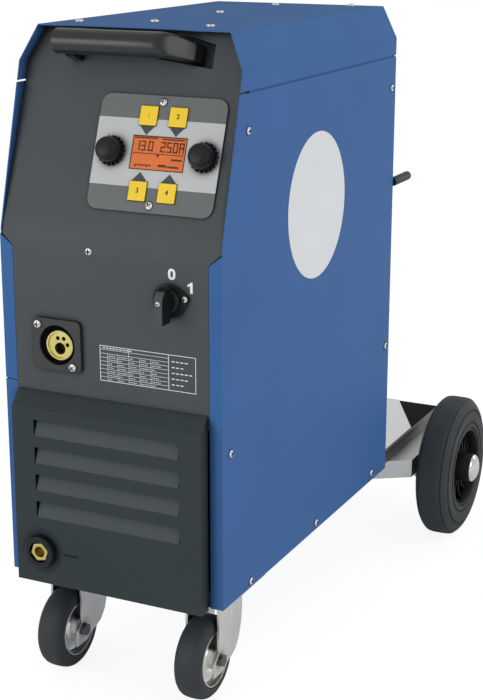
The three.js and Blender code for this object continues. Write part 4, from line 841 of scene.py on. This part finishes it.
liner_hole = lathe(bmesh.new(), [(0, 6), (17.7, 6), (17.7, -2), (0, -2)], socket_centre, 72)
make("torch_socket_liner", carved(liner, liner_hole), front, deep_black, "cabinet")
flange_screws = [(-91.2, 308.9, flange_front), (-46.4, 262.7, flange_front)]
screws("flange_screws", front, flange_screws, "cabinet", size=1.1)
brass = metal("turned_brass", (212, 200, 128), 0.3, 500, depth=0.01)


def socket_core():
    body = lathe(bmesh.new(), [(0, 2), (14.3, 2), (15, 3.8), (16.8, 3.8), (17.5, 3.0), (17.5, -14),
                               (10, -14), (8, -95), (0, -95)], socket_centre, 72)
    guide = lathe(bmesh.new(), [(0, 9), (7, 9), (7, -10.5), (2.2, -12), (2.2, -96), (0, -96)], guide_centre, 40)
    pins = [lathe(bmesh.new(), [(0, 9), (2.5, 9), (2.5, -5), (0, -5)], pin, 20) for pin in pin_centres]
    return carved(body, guide, *pins)


make("torch_socket_core", socket_core(), front, brass, "cabinet", ["euro_socket_core"], 0.25, 35)
# Thin sleeves of darker brass inside the guide bore and the pin sockets: painted shade in the bores.
painted_bore_shade = lathe(bmesh.new(), [(2.6, -9.6), (6.8, -9.6), (6.8, -1), (6.6, -1), (6.6, -9.4), (2.6, -9.4)],
                     guide_centre, 40)
for pin in pin_centres:
    lathe(painted_bore_shade, [(0, -4.9), (2.35, -4.9), (2.35, 1.2), (2.2, 1.2), (2.2, -4.7), (0, -4.7)], pin, 20)
shaded_brass = metal("shaded_brass", (104, 92, 56), 0.5, 500)
make("socket_bore_painted_shade", painted_bore_shade, front, shaded_brass, "cabinet")


# The earth socket: a moulded black ring screwed to the lower panel, around a brass
# hexagon with a round bore.
earth_x, earth_z, earth_bore_end = -87, 38.5, -18
earth_ring = lathe(bmesh.new(), [(12.4, 0.3), (12.4, 8.2), (13.2, 9.1), (17.4, 9.1), (18.8, 8.2), (19.2, 6.8),
                                 (19.2, 0.3), (15, 0.3), (15, -39), (12.4, -39)], (earth_x, earth_z), 72)
make("earth_ring", earth_ring, proud_plane, soft_black, "cabinet",
     ["ground_socket_ring"], 0, 30)
hexagon = toothed(bmesh.new(), earth_x, earth_z, 6, [(0.2, 11.8)], -48, 6.6)
earth_bore = lathe(bmesh.new(), [(0, 20), (6.5, 20), (6.5, earth_bore_end), (0, earth_bore_end)],
                   (earth_x, earth_z), 40)
make("earth_core", carved(hexagon, earth_bore), proud_plane, brass, "cabinet",
     ["ground_socket_core"], 0.5, 30)


# Front casters: a pressed zinc fork on a bolted plate, a turned zinc rim with a bright
# lip, and a solid rubber tyre with a broad tread. The wheel runs on a hexagon bolt.
def rubber(name, colour, shine=0.3):
    """Black rubber: matt, with faint dusty patches, a fine moulded grain, and painted shade within 10 mm of
    other surfaces.
    """
    material, tree = new_material(name, 0.62, 0.0, shine)
    vary_colour(tree, noise(tree, 18, detail=5), colour, 0.12, 10)
    vary_roughness(tree, noise(tree, 40), 0.52, 0.72)
    add_bump(tree, noise(tree, 1100, detail=2), 0.05 * mm, 0.35)
    return material


# The forks' zinc has painted shade within 14 mm of other surfaces, in the pressed grooves and along the folds.
fork_zinc = metal("fork_zinc", (238, 235, 229), 0.42, 160, depth=0.005, crease=14)
rim_zinc = metal("rim_zinc", (238, 238, 234), 0.3, 300, (1, 1, 1), 0.01)
tyre_rubber = rubber("tyre_rubber", (56, 60, 63))


def fork_shape():
    """Both legs, folded and pressed in a V behind the axle, and the crown that joins them."""
    fold_y, back_in = 56, 0.055
    outline = [(39, -12), (39, -76), (29, -84), (25, -103), (49, -103), (fold_y, -97.5), (71, -95), (85, -91),
               (95, -81), (103, -63), (106, -45), (106, -12), (fold_y, -12)]
    shape = bmesh.new()
    grooves = []
    for side in (-1, 1):
        inner, outer = [[shape.verts.new((y, z, side * (depth - back_in * max(0, y - fold_y))))
                         for y, z in outline] for depth in (18.8, 22.3)]
        for layer in (inner, outer):
            shape.faces.new(layer[:6] + layer[12:])
            shape.faces.new(layer[5:])
        for i in range(len(outline)):
            j = (i + 1) % len(outline)
            shape.faces.new((inner[i], inner[j], outer[j], outer[i]))
        groove = bmesh.new()
        for y, z, depth in ((55, -8, 24), (83, -8, 24), (69, -8, 19), (72, -73, 21.5), (72, -73, 24)):
            groove.verts.new((y, z, side * depth))
        bmesh.ops.convex_hull(groove, input=groove.verts)
        grooves.append(groove)
    shape = carved(shape, *grooves)
    crown = tight_outline(rectangle(39, -22.2, 106, 22.2) + oval(77, 0, 56, 56, 48))
    return loft(shape, [[(y, height, x) for y, x in crown] for height in (-12.1, -9.1)])


bolt_steel = metal("bolt_steel", (112, 112, 110), 0.3, 300)


def mirrored(half, steps):
    """Turns (radius, height) points of the upper half, and the same ones below."""
    return lathe(bmesh.new(), half + [(radius, -height) for radius, height in reversed(half)], steps=steps)


caster_tyre = [(34.2, 15.4), (34.8, 16.6), (36.4, 17), (39.6, 16.8), (43, 15.9), (45.8, 14.3), (47.9, 12.2),
               (49.1, 9.8), (49.7, 6.6), (50, 3)]
caster_rim = [(5.4, 18.9), (13, 18.9), (13.5, 10), (16, 7), (24, 6.4), (28.6, 8.2), (31, 11.8), (31.7, 15.6),
              (32.2, 16.9), (33.6, 16.9), (34, 16)]
caster_x, caster_trail, caster_drop = 93, 41, 85
for side_name, side in (("left", -1), ("right", 1)):
    body = f"caster_wheel_{side_name}"
    wheel_plane = face_plane(at(side * caster_x, caster_trail, -caster_drop), (0, 1, 0))
    make(f"caster_{side_name}_tyre", mirrored(caster_tyre, 96), wheel_plane, tyre_rubber, body,
         [f"caster_tyre_{side_name}"], 0, 30)
    make(f"caster_{side_name}_rim", mirrored(caster_rim, 80), wheel_plane, rim_zinc, body,
         [f"caster_rim_{side_name}"], 0, 30)
    fork_plane = face_plane(at(side * caster_x, 0, 0), (0, 1, 0))
    make(f"caster_{side_name}_fork", fork_shape(), fork_plane, fork_zinc, f"caster_{side_name}",
         [f"caster_fork_{side_name}"], 0.6, 12)
    dress(f"caster_axle_{side_name}", bolt_steel, 0.5)
    dress(f"caster_plate_{side_name}", fork_zinc, 0.5)


# Rear wheels: 8 inch solid tyres with a groove near each shoulder and stepped walls, on
# deep black plastic rims with curved ribs. Domed chrome caps close the ends of the axle.
wheel_x, cap_x, axle_y, axle_z = 191, 225.3, cabinet_depth + 140, 101.6 - 135
black_plastic = plastic("rim_plastic", (20, 22, 24), 0.42, 600, 0.04, 0.05)
chrome = metal("chrome", (232, 233, 235), 0.08, 400, depth=0.004)
tyre_half = [(58.3, 22), (58.8, 24.3), (60.4, 24.9), (64.2, 24.9), (65.2, 23.1), (67, 23), (68, 24.7), (74, 25),
             (82, 24.6), (83.2, 22.6), (84.8, 22.4), (86, 23.7), (89, 22.8), (93, 21), (96, 18.9), (97.6, 17.5),
             (97.4, 16), (98.4, 15.2), (100.1, 14.8), (100.8, 13.4), (101.2, 10.8), (101.5, 7.6), (101.6, 3)]
rim_outer = [(10.3, 34), (20, 34), (20.4, 33), (22, 4), (50, 4), (53, 6), (54, 22.2), (54.8, 23.6), (56.4, 24),
             (58, 23)]
rim_inner = [(58, -23), (56.4, -24), (54.8, -23.6), (54, -22.2), (53, -6), (50, -4), (22, -4), (20, -22.9),
             (10.3, -22.9)]
rib_count = 14


def ribs(shape):
    """Thin curved ribs that stand on the rim's web, between the hub and the opening."""
    for number in range(rib_count):
        start = 2 * math.pi * number / rib_count
        outer, inner = [], []
        for step in range(7):
            share = step / 6
            radius = 20.5 + 32 * share
            angle = start + 0.42 * share * share
            for line, offset in ((outer, 1.1), (inner, -1.1)):
                line.append((radius * math.cos(angle) - offset * math.sin(angle),
                             radius * math.sin(angle) + offset * math.cos(angle)))
        slab(shape, outer + inner[::-1], 3.6, 15)
    return shape


cap_dome = [(0, 8), (4, 7.8), (8, 7.1), (12, 5.9), (15.4, 4.3), (17.8, 2.7), (19.3, 1.4), (19.9, 0.6), (20, 0),
            (11, 0), (11, 0.4), (0, 0.4)]
for side_name, side in (("left", -1), ("right", 1)):
    body = f"rear_wheel_{side_name}"
    wheel_plane = face_plane(at(side * wheel_x, axle_y, axle_z), (0, side, 0))
    make(f"rear_{side_name}_tyre", mirrored(tyre_half, 128), wheel_plane, tyre_rubber, body,
         [f"rear_tyre_{side_name}"], 0, 24)
    rim = ribs(lathe(bmesh.new(), rim_outer + rim_inner, steps=96))
    make(f"rear_{side_name}_rim", rim, wheel_plane, black_plastic, body,
         [f"rear_rim_{side_name}"], 0, 30)
    cap_plane = face_plane(at(side * cap_x, axle_y, axle_z), (0, side, 0))
    make(f"rear_{side_name}_cap", lathe(bmesh.new(), cap_dome), cap_plane, chrome, "cabinet",
         [f"hub_cap_{side_name}"], 0, 40)


# Rear: a folded carrier with the axle, a bottle tray with a bright floor plate and black
# pads in its rear corners, and a rod bracket that holds the bottle above.
def galvanised(name, colour, roughness):
    """Hot dipped zinc: crystals about 6 mm wide, each a little lighter or darker."""
    material, tree = new_material(name, roughness, 1.0)
    place = add_node(tree, "ShaderNodeTexCoord")
    crystals = add_node(tree, "ShaderNodeTexVoronoi", {"Scale": 160})
    grey = add_node(tree, "ShaderNodeRGBToBW")
    tree.links.new(place.outputs["Object"], crystals.inputs["Vector"])
    tree.links.new(crystals.outputs["Color"], grey.inputs["Color"])
    vary_colour(tree, grey.outputs[0], colour, 0.02)
    vary_roughness(tree, grey.outputs[0], roughness - 0.02, roughness + 0.04)
    add_bump(tree, noise(tree, 300), 0.01 * mm, 0.2)
    return material


dress("axle_carrier", galvanised("carrier_zinc", (208, 210, 209), 0.42), 1.0)
dress("tray_floor_plate", galvanised("floor_zinc", (246, 247, 248), 0.5), 0.3)
dress("bottle_tray", galvanised("tray_zinc", (124, 123, 121), 0.42), 0.6)
dress("rear_axle", metal("axle_steel", (150, 152, 154), 0.34, 200, (0.05, 1, 1)), 0.4)
dress("bottle_bracket", dark_coat, 0.5)
deck = face_plane(at(0, cabinet_depth, 0), (1, 0, 0), (0, 1, 0))
pads = bmesh.new()
pad_out, pad_in, pad_front, pad_rear = 131.4, 71.5, 130, 242.4
for side in (-1, 1):
    slab(pads, [(side * pad_out, pad_front), (side * pad_out, pad_rear), (side * pad_in, pad_rear)], 18, 19.2)
make("tray_corner_pads", pads, deck, rubber("pad_rubber", (5, 6, 6), 0.06), "cabinet", edge=0.3)


# Fittings on the back: a black cable gland with a hexagon and a ribbed dome nut, and a
# brass gas inlet with a hexagon and a threaded end.
def fitting_plane(node):
    """Looks at the back from behind, with the height counted from the fitting's inner end."""
    low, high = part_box(node)
    return face_plane(Vector(((low.x + high.x) / 2, low.y, (low.z + high.z) / 2)), (-1, 0, 0))


hexagon_back, gland_flat, inlet_flat = 9.4, 14.6, 15.4
gland = slab(bmesh.new(), oval(0, 0, 32, 32, 6), hexagon_back, gland_flat)
toothed(gland, 0, 0, 24, [(0, 13.6), (0.45, 13.6), (0.55, 12.7), (0.95, 12.7)], gland_flat, 22)
lathe(gland, [(6.2, 29), (8.6, 29), (11, 27.4), (12.6, 24.6), (12.8, 22), (6.2, 22)], steps=48)
lathe(gland, [(6.2, 0), (11.4, 0), (11.4, hexagon_back), (6.2, hexagon_back)], steps=48)
make("gland", gland, fitting_plane("cable_gland"), soft_black, "cabinet",
     ["cable_gland"], 0.3, 30)
inlet = slab(bmesh.new(), oval(0, 0, 18, 18, 6), hexagon_back, inlet_flat)
inlet_end = [(2.5, 33), (4, 33), (4.6, 32.2), (4.6, 28.6)]
for turn in range(8):
    inlet_end += [(6.2, 28 - turn * 1.5), (5.5, 27.3 - turn * 1.5)]
lathe(inlet, inlet_end + [(5.5, inlet_flat), (2.5, inlet_flat)], steps=40)
lathe(inlet, [(2.5, 0), (4.8, 0), (4.8, hexagon_back), (2.5, hexagon_back)], steps=40)
make("gas_fitting", inlet, fitting_plane("gas_inlet"), brass, "cabinet", ["gas_inlet"], 0.2, 30)


# The left door's latches: two quarter-turn catches with moulded black wings, each held
# in its hole in the door.
for latch in ("door_latch_front", "door_latch_rear"):
    dress(latch, soft_black, 0.8)


# Inside: a galvanised shelf and partition, and the reel of welding wire on its mandrel.
# The reel is dark plastic, and the wire lies on it in close even turns.
dress("inner_frame", galvanised("inner_zinc", (158, 160, 160), 0.4), 0.4)
reel_plastic = plastic("reel_plastic", (40, 42, 45), 0.5)
dress("spool_mandrel", soft_black, 0.5)
reel_low, reel_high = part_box("wire_spool")
reel_plane = face_plane((reel_low + reel_high) / 2, (0, -1, 0))
reel_half = [(25.6, 50), (32, 50), (33, 49), (33, 3), (94, 3), (94, 46), (95, 50), (147, 50), (149.4, 49.2),
             (150, 48), (149.4, 46.8), (147, 46), (98, 46)]
make("wire_reel", mirrored(reel_half, 96), reel_plane, reel_plastic, "spool",
     ["wire_spool"], 0, 30)
copper_wire = metal("copper_wire", (196, 120, 78), 0.3, 700, depth=0.01)
turn_width, wound_half, drum_radius, wound_radius = 2.3, 45.9, 98.1, 130.8


def wound_wire():
    """The wire's outer layer, one small arch for each turn beside the last."""
    turns = int(91.6 / turn_width)
    profile = [(drum_radius, wound_half)]
    for turn in range(turns):
        top = wound_half - turn * turn_width
        for share in (0.08, 0.3, 0.5, 0.7, 0.92):
            profile.append((wound_radius + 1.1 * math.sin(math.pi * share), top - turn_width * share))
    profile.append((drum_radius, wound_half - turns * turn_width))
    return lathe(bmesh.new(), profile, steps=96)


make("wound_wire", wound_wire(), reel_plane, copper_wire, "spool", crease=70)


# Wire feed: a gear motor on a cast plate, a grooved drive roller, and a spring loaded
# arm with its pressure roller.
dress("feed_drive", plastic("feed_cast", (120, 123, 125), 0.45, 500, 0.05), 0.6)
ground_steel = metal("ground_steel", (170, 172, 174), 0.28, 300)
for roller in ("drive_roller", "pressure_roller"):
    dress(roller, ground_steel, 0.4)
dress("pressure_arm", soft_black, 0.6)


# Electronics and cooling: the control board with its chips, the fan, the transformer
# with varnished laminations, and the rectifier on its finned heat sink.
dress("control_board", plastic("board_green", (40, 92, 58), 0.4, 300, 0.02, 0.08), 0)
dress("fan_motor", dark_coat, 0.5)
dress("fan_impeller", plastic("fan_black", (36, 38, 40), 0.5), 0.3)
dress("transformer", metal("laminations", (112, 96, 82), 0.5, 900, (0.02, 0.02, 1), 0.1), 0.5)
dress("rectifier", metal("heat_sink", (190, 192, 194), 0.35, 300), 0.3)
